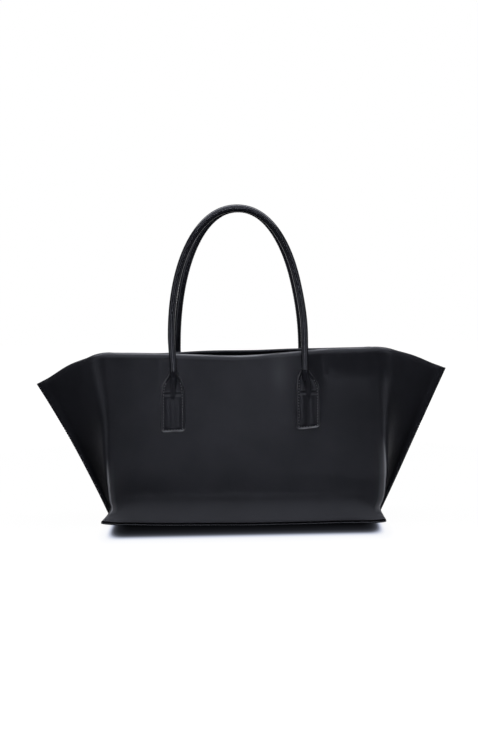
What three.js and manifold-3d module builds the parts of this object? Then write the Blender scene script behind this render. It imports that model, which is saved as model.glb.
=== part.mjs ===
// A winged leather tote bag: two folded wall panels sewn together along the sides,
// a flat base, a lining with a stiffened floor, and a rolled handle on each wall.
// Millimetres, +Z up. The origin is the middle of the base on the floor, the front faces -Y.
import * as THREE from "three";
import { mergeVertices } from "three/addons/utils/BufferGeometryUtils.js";
import Module from "manifold-3d";

const wasm = await Module();
wasm.setup();

// Driving dimensions of the body
const BASE_WIDTH = 340;
const BASE_DEPTH = 150;
const BODY_HEIGHT = 204;
const MOUTH_WIDTH = 348;
const MOUTH_DEPTH = 104;
const WAIST_HEIGHT = 34;
const WAIST_WIDTH = 326;
const WAIST_DEPTH = 124;
const WING_SPAN = 506;
const WING_TIP_HEIGHT = 174;
const SEAM_ALLOWANCE = 6;
const FOLD_SETBACK_FOOT = 5;
const FOLD_SETBACK_RIM = 26;

// Sheet thicknesses, and the gap left between pieces that lie on each other
const PANEL_LEATHER = 1.8;
const BASE_LEATHER = 2;
const FACING_LEATHER = 1.2;
const PATCH_LEATHER = 1;
const LINING_CLOTH = 0.8;
const FLOOR_BOARD = 2.4;
const GAP = 0.3;

// Lining and stiffening
const BASE_LIP = 1.5;
const FACING_HEIGHT = 30;
const LINING_SEAM_MARGIN = 7;
const BOARD_CLEARANCE = 0.9;

// Handles and the tabs that fix them to the walls
const HANDLE_SPACING = 162;
const HANDLE_TOP = 383.5;
const HANDLE_DIAMETER = 8.4;
const HANDLE_LEATHER = 1.2;
const HANDLE_STANDOFF = 0.8;
const ARCH_RISE = 142;
const TAB_TOP = 178;
const TAB_LENGTH = 66;
const TAB_WIDTH = 28;
const TAB_SHOULDER = 17;
const TAB_LEATHER = 3;
const TAB_CORNER = 4;
const RIDGE_LENGTH = 44;
const RIDGE_END_RADIUS = 2;
const PATCH_WIDTH = 24;
const PATCH_LENGTH = 52;

// Fineness of the curved stretches
const FLARE_ROWS = 4;
const WALL_ROWS = 4;
const FACING_ROWS = 2;
const FOLD_STEPS = 4;
const WING_STEPS = 3;
const HANDLE_STEPS = 44;
const HANDLE_SIDES = 10;
const RIDGE_RINGS = 6;

// Heights and lengths that follow from the driving dimensions
const WALL_FOOT = BASE_LEATHER + GAP;
const BOARD_TOP = WALL_FOOT + FLOOR_BOARD;
const FLOOR_TOP = BOARD_TOP + GAP + LINING_CLOTH;
const LINING_FOOT = FLOOR_TOP + GAP;
const FACING_FOOT = BODY_HEIGHT - FACING_HEIGHT;
const LINING_INSET = PANEL_LEATHER + GAP + PATCH_LEATHER + GAP;
const HANDLE_RADIUS = HANDLE_DIAMETER / 2;
const CORE_RADIUS = HANDLE_RADIUS - HANDLE_LEATHER - GAP;
const HANDLE_OUT = HANDLE_STANDOFF + HANDLE_RADIUS;
const WALL_LEAN = Math.atan2((WAIST_DEPTH - MOUTH_DEPTH) / 2, BODY_HEIGHT - WAIST_HEIGHT);

const { lerp } = THREE.MathUtils;

function leather(color, roughness) {
  return new THREE.MeshStandardMaterial({ color, roughness, metalness: 0 });
}

const calfLeather = leather(0x1d1e21, 0.45);
const handleLeather = leather(0x17171a, 0.4);
const liningCloth = leather(0x141416, 0.9);
const boardFibre = leather(0x4a443c, 0.95);
const cordFibre = leather(0x8f887a, 0.95);

// Half a width or depth of the body at a height: flared at the foot, straight from the waist up.
function halfSpan(height, foot, waist, rim) {
  if (height < WAIST_HEIGHT) {
    const share = 1 - height / WAIST_HEIGHT;
    return waist + (foot - waist) * share * share;
  }
  return lerp(waist, rim, (height - WAIST_HEIGHT) / (BODY_HEIGHT - WAIST_HEIGHT));
}

function halfWidth(height) {
  return halfSpan(height, BASE_WIDTH / 2 - BASE_LIP, WAIST_WIDTH / 2, MOUTH_WIDTH / 2);
}

function halfDepth(height) {
  return halfSpan(height, BASE_DEPTH / 2 - BASE_LIP, WAIST_DEPTH / 2, MOUTH_DEPTH / 2);
}

// One side of a wall's outer line at a height, from the middle round the soft fold to the side seam.
function wallSide(height, toSeam) {
  const share = (height - WALL_FOOT) / (BODY_HEIGHT - WALL_FOOT);
  const fold = new THREE.Vector3(halfWidth(height), -halfDepth(height), height);
  const seam = new THREE.Vector3(
    lerp(WAIST_WIDTH / 2, WING_SPAN / 2 - SEAM_ALLOWANCE, share),
    -PANEL_LEATHER - GAP / 2,
    lerp(WALL_FOOT, WING_TIP_HEIGHT, share),
  );
  const alongWing = seam.clone().sub(fold).normalize();
  const setback = lerp(FOLD_SETBACK_FOOT, FOLD_SETBACK_RIM, share);
  const bendEnd = fold.clone().addScaledVector(alongWing, setback);
  const bend = new THREE.QuadraticBezierCurve3(fold.clone().setX(fold.x - setback), fold, bendEnd);
  const line = bend.getPoints(FOLD_STEPS);
  const liningEnd = seam.clone().addScaledVector(alongWing, -LINING_SEAM_MARGIN);
  for (let step = 1; step <= WING_STEPS; step += 1) {
    line.push(bendEnd.clone().lerp(liningEnd, step / WING_STEPS));
  }
  if (toSeam) {
    line.push(seam, seam.clone().setX(seam.x + SEAM_ALLOWANCE));
  }
  return line;
}

// The whole outer line of the front wall at a height, from side to side.
function wallLine(height, toSeam) {
  const right = wallSide(height, toSeam);
  const left = right.map((point) => point.clone().setX(-point.x)).reverse();
  return [...left, ...right];
}

// The line moved inwards by a distance, level, with mitred corners.
function inset(line, distance) {
  const normals = line.slice(1).map((point, i) => {
    const along = point.clone().sub(line[i]).setZ(0).normalize();
    return new THREE.Vector3(-along.y, along.x, 0);
  });
  return line.map((point, i) => {
    const before = normals[Math.max(i - 1, 0)];
    const after = normals[Math.min(i, normals.length - 1)];
    const mitre = before.clone().add(after).divideScalar(1 + before.dot(after));
    return point.clone().addScaledVector(mitre, distance);
  });
}

function gridGeometry(points, triangles) {
  const geometry = new THREE.BufferGeometry().setFromPoints(points);
  geometry.setIndex(triangles);
  return geometry;
}

// The sides of a solid between rings of points, each ring with the same count. The second half
// of a ring, which turns back on the first, is split along the same slant as the first half.
function loft(rings) {
  const count = rings[0].length;
  const triangles = [];
  for (let row = 0; row + 1 < rings.length; row += 1) {
    for (let i = 0; i < count; i += 1) {
      const a = row * count + i;
      const b = row * count + ((i + 1) % count);
      if (i < count / 2) {
        triangles.push(a, b, b + count, a, b + count, a + count);
      } else {
        triangles.push(a, b, a + count, b, b + count, a + count);
      }
    }
  }
  return { points: rings.flat(), triangles, count };
}

// A sheet of leather or cloth that follows the front wall between two insets, row by row.
function wallSheet(heights, outer, inner, toSeam) {
  const rings = heights.map((height) => {
    const line = wallLine(height, toSeam);
    return [...inset(line, outer), ...inset(line, inner).reverse()];
  });
  const { points, triangles, count } = loft(rings);
  const last = points.length - count;
  for (let i = 0; i + 1 < count / 2; i += 1) {
    const a = i;
    const b = count - 1 - i;
    triangles.push(a, b, a + 1, a + 1, b, b - 1);
    triangles.push(last + a, last + a + 1, last + b, last + a + 1, last + b - 1, last + b);
  }
  return gridGeometry(points, triangles);
}

function evenly(from, to, steps) {
  return Array.from({ length: steps + 1 }, (_, i) => lerp(from, to, i / steps));
}

// The heights at which every sheet of a wall has a row of points, so that the sheets lie alike.
function wallHeights(from, to) {
  const rows = [
    WALL_FOOT,
    ...evenly(LINING_FOOT, WAIST_HEIGHT, FLARE_ROWS),
    ...evenly(WAIST_HEIGHT, FACING_FOOT - GAP, WALL_ROWS).slice(1),
    ...evenly(FACING_FOOT, BODY_HEIGHT, FACING_ROWS),
  ];
  return rows.filter((height) => height >= from && height <= to);
}

function slab(width, depth, bottom, thickness) {
  return new THREE.BoxGeometry(width, depth, thickness).translate(0, 0, bottom + thickness / 2);
}

// A closed geometry as a solid that can be joined and cut.
function solid(geometry) {
  const bare = geometry.clone();
  bare.deleteAttribute("normal");
  bare.deleteAttribute("uv");
  const merged = mergeVertices(bare, 1e-4);
  return new wasm.Manifold(
    new wasm.Mesh({
      numProp: 3,
      vertProperties: new Float32Array(merged.attributes.position.array),
      triVerts: new Uint32Array(merged.index.array),
    }),
  );
}

function geometryOf(manifold) {
  const { vertProperties, triVerts } = manifold.getMesh();
  const geometry = new THREE.BufferGeometry();
  geometry.setAttribute("position", new THREE.BufferAttribute(new Float32Array(vertProperties), 3));
  geometry.setIndex([...triVerts]);
  return geometry;
}

// The bottle-shaped outline of a handle tab: a neck as wide as the handle, shoulders and a round-cornered foot.
function tabOutline() {
  const half = TAB_WIDTH / 2;
  const foot = -TAB_LENGTH;
  const outline = new THREE.Shape();
  outline.moveTo(-HANDLE_RADIUS, 0);
  outline.bezierCurveTo(
    -HANDLE_RADIUS,
    -TAB_SHOULDER / 2,
    -half,
    -TAB_SHOULDER / 2,
    -half,
    -TAB_SHOULDER,
  );
  outline.lineTo(-half, foot + TAB_CORNER);
  outline.quadraticCurveTo(-half, foot, -half + TAB_CORNER, foot);
  outline.lineTo(half - TAB_CORNER, foot);
  outline.quadraticCurveTo(half, foot, half, foot + TAB_CORNER);
  outline.lineTo(half, -TAB_SHOULDER);
  outline.bezierCurveTo(
    half,
    -TAB_SHOULDER / 2,
    HANDLE_RADIUS,
    -TAB_SHOULDER / 2,
    HANDLE_RADIUS,
    0,
  );
  return outline;
}

// The rounded ridge that carries the end of the handle down onto the tab, thinning as it goes.
function ridgeSolid() {
  const rings = evenly(0, 1, RIDGE_RINGS - 1).map((share) => {
    const radius = lerp(HANDLE_RADIUS, RIDGE_END_RADIUS, share);
    const out = lerp(HANDLE_OUT, TAB_LEATHER - RIDGE_END_RADIUS / 2, share * share);
    return Array.from({ length: HANDLE_SIDES }, (_, i) => {
      const angle = (2 * Math.PI * i) / HANDLE_SIDES;
      return new THREE.Vector3(
        radius * Math.cos(angle),
        -out + radius * Math.sin(angle),
        -share * RIDGE_LENGTH,
      );
    });
  });
  const { points, triangles, count } = loft(rings.reverse());
  const last = points.length - count;
  for (let i = 1; i + 1 < count; i += 1) {
    triangles.push(0, i + 1, i, last, last + i, last + i + 1);
  }
  return solid(gridGeometry(points, triangles));
}

// A tab with its ridge, in the wall's frame, hanging down from its neck at the origin.
function tabGeometry() {
  const plate = new THREE.ExtrudeGeometry(tabOutline(), {
    depth: TAB_LEATHER,
    bevelEnabled: false,
    curveSegments: 5,
  });
  plate.rotateX(Math.PI / 2).translate(0, -GAP, 0);
  const behind = new THREE.BoxGeometry(TAB_WIDTH, TAB_WIDTH, 2 * TAB_LENGTH);
  behind.translate(0, TAB_WIDTH / 2 - GAP, 0);
  return geometryOf(solid(plate).add(ridgeSolid()).subtract(solid(behind)));
}

// The middle line of a handle in the wall's frame: two straight legs and half an ellipse.
class HandleLine extends THREE.Curve {
  constructor(foot, spring) {
    super();
    this.foot = foot;
    this.spring = spring;
  }

  getPoint(t, target = new THREE.Vector3()) {
    const leg = this.spring - this.foot;
    const halfway = HANDLE_SPACING / 2;
    const arch = (Math.PI * (halfway + ARCH_RISE)) / 2;
    const at = t * (arch + 2 * leg);
    if (at < leg) {
      return target.set(-halfway, -HANDLE_OUT, this.foot + at);
    }
    if (at > leg + arch) {
      return target.set(halfway, -HANDLE_OUT, this.spring - (at - leg - arch));
    }
    const angle = (Math.PI * (at - leg)) / arch;
    return target.set(
      -halfway * Math.cos(angle),
      -HANDLE_OUT,
      this.spring + ARCH_RISE * Math.sin(angle),
    );
  }
}

function circlePath(path, radius) {
  for (let i = 0; i < HANDLE_SIDES; i += 1) {
    const angle = (2 * Math.PI * i) / HANDLE_SIDES;
    const at = [radius * Math.cos(angle), radius * Math.sin(angle)];
    if (i === 0) {
      path.moveTo(...at);
    } else {
      path.lineTo(...at);
    }
  }
  path.closePath();
  return path;
}

function alongHandle(line, radius, bore) {
  const section = circlePath(new THREE.Shape(), radius);
  if (bore > 0) {
    section.holes.push(circlePath(new THREE.Path(), bore));
  }
  return new THREE.ExtrudeGeometry(section, {
    steps: HANDLE_STEPS,
    bevelEnabled: false,
    extrudePath: line,
  });
}

function part(name, geometry, material) {
  const mesh = new THREE.Mesh(geometry, material);
  mesh.name = name;
  return mesh;
}

// Height above the floor turned into distance up the leaning wall from its waist.
function upWall(height) {
  return (height - WAIST_HEIGHT) / Math.cos(WALL_LEAN);
}

// A wall's own sheets: the outer panel with its two wings, the facing at the rim and the lining.
function wallSheets(side) {
  const lined = LINING_INSET + LINING_CLOTH;
  const faced = PANEL_LEATHER + GAP;
  return [
    part(
      `${side}_panel`,
      wallSheet(wallHeights(WALL_FOOT, BODY_HEIGHT), 0, PANEL_LEATHER, true),
      calfLeather,
    ),
    part(
      `${side}_facing`,
      wallSheet(wallHeights(FACING_FOOT, BODY_HEIGHT), faced, faced + FACING_LEATHER, false),
      calfLeather,
    ),
    part(
      `${side}_lining`,
      wallSheet(wallHeights(LINING_FOOT, FACING_FOOT - GAP), LINING_INSET, lined, false),
      liningCloth,
    ),
  ];
}

// A tab outside the wall and the patch behind it, at one end of the handle.
function handleFixing(side, end, x) {
  const tab = part(`${side}_${end}_tab`, tabGeometry(), handleLeather);
  tab.position.set(x, 0, upWall(TAB_TOP));
  const patch = part(
    `${side}_${end}_patch`,
    new THREE.BoxGeometry(PATCH_WIDTH, PATCH_LEATHER, PATCH_LENGTH),
    calfLeather,
  );
  patch.position.set(
    x,
    PANEL_LEATHER + GAP + PATCH_LEATHER / 2,
    upWall(TAB_TOP) - TAB_LENGTH + PATCH_LENGTH / 2,
  );
  return [tab, patch];
}

// A rolled handle: a leather tube sewn round a cord.
function handlePieces(side) {
  const foot = upWall(TAB_TOP) + GAP;
  const spring = upWall(HANDLE_TOP) - HANDLE_RADIUS - ARCH_RISE;
  const line = new HandleLine(foot, spring);
  return [
    part(
      `${side}_handle_cover`,
      alongHandle(line, HANDLE_RADIUS, HANDLE_RADIUS - HANDLE_LEATHER),
      handleLeather,
    ),
    part(`${side}_handle_core`, alongHandle(line, CORE_RADIUS, 0), cordFibre),
  ];
}

// One wall of the bag with everything sewn to it, modelled as the front one.
function wall(side, leftEnd, rightEnd) {
  const group = new THREE.Group();
  const leaning = new THREE.Group();
  leaning.position.set(0, -WAIST_DEPTH / 2, WAIST_HEIGHT);
  leaning.rotation.x = -WALL_LEAN;
  leaning.add(
    ...handleFixing(side, leftEnd, -HANDLE_SPACING / 2),
    ...handleFixing(side, rightEnd, HANDLE_SPACING / 2),
    ...handlePieces(side),
  );
  group.add(...wallSheets(side), leaning);
  return group;
}

// The base, its stiffener and the lining of the floor.
function floorPieces() {
  const width = WAIST_WIDTH - 2 * (PANEL_LEATHER + BOARD_CLEARANCE);
  const depth = 2 * (halfDepth(FLOOR_TOP) - PANEL_LEATHER - BOARD_CLEARANCE);
  return [
    part("base_panel", slab(BASE_WIDTH, BASE_DEPTH, 0, BASE_LEATHER), calfLeather),
    part("base_board", slab(width, depth, WALL_FOOT, FLOOR_BOARD), boardFibre),
    part("base_lining", slab(width, depth, BOARD_TOP + GAP, LINING_CLOTH), liningCloth),
  ];
}

const bag = new THREE.Group();
const back = wall("back", "right", "left");
back.rotation.z = Math.PI;
bag.add(wall("front", "left", "right"), back, ...floorPieces());

export default bag;
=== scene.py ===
"""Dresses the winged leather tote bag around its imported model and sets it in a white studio.

The sizes in the bag's classes are millimetres in its own frame: the front faces -Y, +X is to the right as
the photograph shows it, and the floor is z = 0. Meshes are written in metres, and the studio is in metres.
"""

from __future__ import annotations

import logging
import math
from dataclasses import dataclass, field
from enum import Enum

import bpy
import numpy as np
from mathutils import Matrix, Vector, noise


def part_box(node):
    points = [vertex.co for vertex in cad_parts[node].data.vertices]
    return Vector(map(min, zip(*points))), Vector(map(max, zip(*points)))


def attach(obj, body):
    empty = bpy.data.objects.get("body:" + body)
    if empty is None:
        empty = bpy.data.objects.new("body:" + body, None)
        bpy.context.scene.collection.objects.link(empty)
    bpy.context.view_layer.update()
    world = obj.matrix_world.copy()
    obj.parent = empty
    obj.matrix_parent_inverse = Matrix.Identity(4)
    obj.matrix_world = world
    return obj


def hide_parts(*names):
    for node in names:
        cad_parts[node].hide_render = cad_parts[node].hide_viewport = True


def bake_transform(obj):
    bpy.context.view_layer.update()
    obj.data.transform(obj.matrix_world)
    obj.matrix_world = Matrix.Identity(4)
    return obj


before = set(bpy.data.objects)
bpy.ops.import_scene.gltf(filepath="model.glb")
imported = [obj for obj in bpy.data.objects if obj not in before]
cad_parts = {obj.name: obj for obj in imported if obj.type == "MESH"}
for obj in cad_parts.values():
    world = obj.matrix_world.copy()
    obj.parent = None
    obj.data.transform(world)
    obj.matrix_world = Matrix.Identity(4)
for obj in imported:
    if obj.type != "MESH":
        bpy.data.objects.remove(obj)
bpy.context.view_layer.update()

LOG = logging.getLogger("tote")
MM = 0.001
IMAGE_HEIGHT = 736
WHITE = (1.0, 1.0, 1.0, 1.0)
Pair = tuple[float, float]
Curve = tuple[tuple[float, float], ...]


def linear(tone: str) -> tuple[float, float, float, float]:
    """Turns an sRGB hex tone into linear light.

    Args:
        tone: six hex digits, such as "1d1e21".

    Returns:
        The linear red, green and blue, and full opacity.
    """
    parts = [int(tone[i : i + 2], 16) / 255 for i in (0, 2, 4)]
    red, green, blue = (p / 12.92 if p <= 0.04045 else ((p + 0.055) / 1.055) ** 2.4 for p in parts)
    return red, green, blue, 1.0


def start_material(name: str) -> tuple[bpy.types.Material, bpy.types.NodeTree, bpy.types.Node]:
    """Makes a material with nodes.

    Args:
        name: the material's name.

    Returns:
        The material, its tree and its shader.
    """
    material = bpy.data.materials.new(name)
    material.use_nodes = True
    return material, material.node_tree, material.node_tree.nodes["Principled BSDF"]


def set_node(node: bpy.types.Node, settings: dict) -> None:
    """Sets a node's values and links.

    Args:
        node: the node.
        settings: sockets and values by name. A socket is linked to the input of that name or number, a value
            is set on that input, and a name that no input has is set on the node itself.
    """
    for name, value in settings.items():
        if isinstance(value, bpy.types.NodeSocket):
            node.id_data.links.new(value, node.inputs[name])
        elif isinstance(name, int) or name in node.inputs:
            node.inputs[name].default_value = value
        else:
            setattr(node, name, value)


def add_node(tree: bpy.types.NodeTree, kind: str, settings: dict | None = None) -> bpy.types.Node:
    """Adds a node to a material's tree.

    Args:
        tree: the tree that gets the node.
        kind: the node's type, without the ShaderNode prefix.
        settings: its values and links, as set_node takes them.

    Returns:
        The new node.
    """
    node = tree.nodes.new("ShaderNode" + kind)
    set_node(node, settings or {})
    return node


def set_stops(ramp: bpy.types.Node, stops: tuple[tuple[float, tuple], ...]) -> bpy.types.NodeSocket:
    """Gives a colour ramp its stops.

    Args:
        ramp: the colour ramp node.
        stops: pairs of place, from 0 to 1, and linear colour, in rising order of place.

    Returns:
        The ramp's colour.
    """
    elements = ramp.color_ramp.elements
    for place, _ in stops[1:-1]:
        elements.new(place)
    for element, (place, colour) in zip(elements, stops):
        element.position = place
        element.color = colour
    return ramp.outputs["Color"]


def greys(levels: Curve) -> tuple[tuple[float, tuple], ...]:
    """Turns pairs of place and brightness into grey stops."""
    return tuple((place, (level, level, level, 1.0)) for place, level in levels)


def seen_as_white(tree: bpy.types.NodeTree, behind: bpy.types.NodeSocket) -> bpy.types.NodeSocket:
    """Adds the nodes that say where the floor or the room shows as the white background.

    Args:
        tree: the tree of the floor or the room.
        behind: 1 for the places behind the bag, which also show white in a reflection.

    Returns:
        1 where it shows as white, and 0 where it only lights the bag.
    """
    rays = add_node(tree, "LightPath").outputs
    either = {"operation": "MAXIMUM", 0: rays["Is Glossy Ray"], 1: rays["Is Transmission Ray"]}
    mirrored = add_node(tree, "Math", either).outputs["Value"]
    mirrored = add_node(tree, "Math", {"operation": "MULTIPLY", 0: mirrored, 1: behind}).outputs["Value"]
    seen = add_node(tree, "Math", {"operation": "MAXIMUM", 0: rays["Is Camera Ray"], 1: mirrored})
    return seen.outputs["Value"]


def smooth(low: float, high: float, value: np.ndarray | float) -> np.ndarray | float:
    """Rises smoothly from 0 at low to 1 at high."""
    t = np.clip((np.asarray(value, float) - low) / (high - low), 0.0, 1.0)
    return t * t * (3 - 2 * t)


def through(points: Curve, value: np.ndarray | float) -> np.ndarray | float:
    """Reads a smooth curve through a few points.

    Args:
        points: pairs of place and height, in rising order of place.
        value: the places to read.

    Returns:
        The curve's height at each place, held level beyond the ends.
    """
    x, y = (np.array(column, float) for column in zip(*points))
    slope = np.gradient(y, x)
    at = np.clip(np.asarray(value, float), x[0], x[-1])
    i = np.clip(np.searchsorted(x, at) - 1, 0, len(x) - 2)
    step = x[i + 1] - x[i]
    t = (at - x[i]) / step
    start = (2 * t**3 - 3 * t**2 + 1) * y[i] + (t**3 - 2 * t**2 + t) * step * slope[i]
    return start + (-2 * t**3 + 3 * t**2) * y[i + 1] + (t**3 - t**2) * step * slope[i + 1]


def unit(vectors: np.ndarray) -> np.ndarray:
    """Scales vectors to length one."""
    return vectors / np.maximum(np.linalg.norm(vectors, axis=-1, keepdims=True), 1e-9)


def bell(value: np.ndarray, at: np.ndarray | float, wide: np.ndarray | float, power: int = 2) -> np.ndarray:
    """Gives 1 at a place and falls away on both sides, more squarely with a higher even power."""
    return np.exp(-(((value - at) / wide) ** power))


def run_along(line: np.ndarray) -> np.ndarray:
    """Gives how far along a line of points each of them lies."""
    return np.concatenate([[0], np.cumsum(np.linalg.norm(np.diff(line, axis=0), axis=1))])


def read_along(stops: np.ndarray, run: np.ndarray, values: np.ndarray) -> np.ndarray:
    """Reads rows of values, given point by point along a run, at stops of that run."""
    return np.stack([np.interp(stops, run, column) for column in values.T], -1)


def ripple(points: np.ndarray, spacing: float, seed: float) -> np.ndarray:
    """Reads soft noise, as the unevenness that a hide or a cloth has.

    Args:
        points: places in millimetres, any shape ending in 3.
        spacing: size of the unevenness in millimetres.
        seed: moves the noise, so that pieces differ.

    Returns:
        A value from -1 to 1 at each place.
    """
    flat = points.reshape(-1, 3) / spacing + seed
    values = [noise.noise(Vector(p)) for p in flat]
    return np.array(values).reshape(points.shape[:-1])


def mesh_object(name: str, points: np.ndarray, faces: list, angle: float = 35.0) -> bpy.types.Object:
    """Makes an object from points and faces.

    Args:
        name: the piece's name.
        points: places in millimetres.
        faces: tuples of point numbers, facing outwards.
        angle: edges sharper than this stay crisp, in degrees.

    Returns:
        The object, at the origin, shaded smooth.
    """
    mesh = bpy.data.meshes.new(name)
    mesh.from_pydata((np.asarray(points) * MM).tolist(), [], faces)
    mesh.validate()
    piece = bpy.data.objects.new(name, mesh)
    bpy.context.collection.objects.link(piece)
    select_only(piece)
    bpy.ops.object.shade_smooth_by_angle(angle=math.radians(angle))
    return piece


def select_only(piece: bpy.types.Object) -> None:
    """Selects one object and makes it the active one.

    Args:
        piece: the object.
    """
    bpy.ops.object.select_all(action="DESELECT")
    piece.select_set(True)
    bpy.context.view_layer.objects.active = piece


def bevel_edges(piece: bpy.types.Object, width: float, segments: int = 2, angle: float = 55.0) -> None:
    """Rounds the sharp edges of a piece with an applied bevel.

    Args:
        piece: the object.
        width: width of the rounding in millimetres.
        segments: number of faces across it.
        angle: edges sharper than this are rounded, in degrees.
    """
    select_only(piece)
    bevel = piece.modifiers.new("Rounded edges", "BEVEL")
    bevel.width = width * MM
    bevel.segments = segments
    bevel.limit_method = "ANGLE"
    bevel.angle_limit = math.radians(angle)
    bpy.ops.object.modifier_apply(modifier=bevel.name)


def surface_normals(grid: np.ndarray) -> np.ndarray:
    """Gives the unit normal at each point of a grid of rows and columns."""
    return unit(np.cross(np.gradient(grid, axis=1), np.gradient(grid, axis=0)))


def set_sheen_and_wear(piece: bpy.types.Object, sheen_and_wear: np.ndarray) -> None:
    """Writes where a piece has painted highlights and lighter worn places, as its point attribute.

    Args:
        piece: a piece that starts with the points of its outer face.
        sheen_and_wear: the painted highlight, and the lighter wear, at each of these points, from 0 to 1.
    """
    values = np.zeros(len(piece.data.vertices), np.float32)
    values[: sheen_and_wear.size] = sheen_and_wear.ravel()
    piece.data.attributes.new("SheenAndWear", "FLOAT", "POINT").data.foreach_set("value", values)


def shell(name: str, outer: np.ndarray, inner: np.ndarray, round_steps: int = 0) -> bpy.types.Object:
    """Closes an outer and an inner sheet of points into one piece of leather or cloth.

    Args:
        name: the piece's name.
        outer: rows from the bottom up of points from left to right, in millimetres, seen from outside.
        inner: the same for the inner face.
        round_steps: rows of a rounded top edge, or 0 for a cut one.

    Returns:
        The closed object with a UV map that follows the sheet in metres.
    """
    rows, columns = outer.shape[:2]
    rising = unit(outer[-1] - outer[-2])
    middle = (outer[-1] + inner[-1]) / 2
    half = (outer[-1] - inner[-1]) / 2
    reach = np.linalg.norm(half, axis=-1, keepdims=True)
    turns = np.linspace(0, math.pi, round_steps + 2)[1:-1]
    cap = [middle + math.cos(a) * half + math.sin(a) * reach * rising for a in turns]
    ring = np.concatenate([outer, np.array(cap).reshape(-1, columns, 3), inner[::-1]])
    count = len(ring)
    index = np.arange(count * columns).reshape(count, columns)
    faces = []
    for i in range(count):
        low, high = index[i], index[(i + 1) % count]
        faces += [(low[j], low[j + 1], high[j + 1], high[j]) for j in range(columns - 1)]
    for column, turn in ((index[:, 0], 1), (index[:, -1], -1)):
        for i in range(rows - 1):
            faces.append((column[i], column[i + 1], column[count - 2 - i], column[count - 1 - i])[::turn])
        if round_steps:
            faces.append(tuple(column[rows - 1 : rows + round_steps + 1])[::turn])
    piece = mesh_object(name, ring.reshape(-1, 3), faces)
    across, along = run_along(outer[rows // 2]), run_along(ring[:, columns // 2])
    flat = np.stack(np.broadcast_arrays(across[None, :], along[:, None]), -1).reshape(-1, 2) * MM
    layer = piece.data.uv_layers.new(name="Sheet")
    corners = np.zeros(len(piece.data.loops), int)
    piece.data.loops.foreach_get("vertex_index", corners)
    layer.data.foreach_set("uv", flat[corners].astype(np.float32).ravel())
    return piece


class Side(Enum):
    """Which wall of the bag: the front one, or the back one, which is the front one turned half round."""

    FRONT = "front"
    BACK = "back"

    @property
    def turn(self) -> float:
        """1 for the front, -1 for the back: what x and y are multiplied by."""
        return 1.0 if self is Side.FRONT else -1.0

    @property
    def seed(self) -> float:
        """Where in the noise the unevenness of this wall's hide is read."""
        return 3.7 if self is Side.FRONT else 11.2


class End(Enum):
    """Which end of the bag, as seen from the front."""

    LEFT = "left"
    RIGHT = "right"


@dataclass(frozen=True)
class BoxCalf:
    """Black box calf, plate-finished: a fine even grain, a satin sheen, a little colour in the depth of it.

    The sizes of its patterns are in millimetres.
    """

    name: str = "Black box calf"
    deep: str = "0e0f14"
    light: str = "1c1d23"
    sheen_and_wear_tone: str = "b2b4bc"
    shine: str = "ebeeff"
    rough: float = 0.37
    rough_spread: float = 0.045
    burnish: float = 0.17
    cloud: float = 55.0
    cloud_span: Pair = (0.32, 0.7)
    sheen: float = 14.0
    grain: float = 0.9
    grain_depth: float = 0.16
    grain_rise: float = 0.15
    groove: float = 0.22
    pore: float = 0.35
    pore_share: float = 0.35
    gloss: float = 1.47

    def material(self) -> bpy.types.Material:
        """Builds the leather's node material and returns it."""
        material, tree, shader = start_material(self.name)
        place = add_node(tree, "TexCoord").outputs["Object"]
        cloud = add_node(tree, "TexNoise", {"Scale": 1 / (self.cloud * MM), "Detail": 3.0, "Vector": place})
        tint = add_node(tree, "ValToRGB", {"Fac": cloud.outputs["Fac"]})
        tone = set_stops(tint, tuple(zip(self.cloud_span, (linear(self.deep), linear(self.light)))))
        # The attribute mixes in a pale tone, as painted highlights on the folds, toe, rim and tabs and as
        # lighter worn edges, and lowers the roughness there.
        sheen_and_wear = add_node(tree, "Attribute", {"attribute_name": "SheenAndWear"}).outputs["Fac"]
        shade = add_node(tree, "Mix", {"data_type": "RGBA", 0: sheen_and_wear, 6: tone, 7: linear(self.sheen_and_wear_tone)})
        sheen = add_node(tree, "TexNoise", {"Scale": 1 / (self.sheen * MM), "Detail": 2.0, "Vector": place})
        low, high = self.rough - self.rough_spread, self.rough + self.rough_spread
        rough = add_node(tree, "MapRange", {"To Min": low, "To Max": high, "Value": sheen.outputs["Fac"]})
        sheen_polish = {"operation": "MULTIPLY_ADD", 0: sheen_and_wear, 1: -self.burnish, 2: rough.outputs["Result"]}
        burnish = add_node(tree, "Math", sheen_polish)
        # The real grain is about 0.5 mm, so it is drawn nearly twice as coarse as it is, to show at all.
        edges = {"feature": "DISTANCE_TO_EDGE", "Scale": 1 / (self.grain * MM), "Vector": place}
        cells = add_node(tree, "TexVoronoi", edges)
        soft = add_node(tree, "MapRange", {"From Max": self.groove, "Value": cells.outputs["Distance"]})
        pores = add_node(tree, "TexNoise", {"Scale": 1 / (self.pore * MM), "Detail": 2.0, "Vector": place})
        relief = {"operation": "MULTIPLY_ADD", 0: pores.outputs["Fac"], 1: self.pore_share}
        height = add_node(tree, "Math", relief | {2: soft.outputs["Result"]}).outputs["Value"]
        rise = {"Strength": self.grain_depth, "Distance": self.grain_rise * MM, "Height": height}
        bump = add_node(tree, "Bump", rise)
        surface = {
            "Base Color": shade.outputs[2],
            "Roughness": burnish.outputs["Value"],
            "Normal": bump.outputs["Normal"],
            "IOR": self.gloss,
            "Specular Tint": linear(self.shine),
        }
        set_node(shader, surface)
        return material


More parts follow.
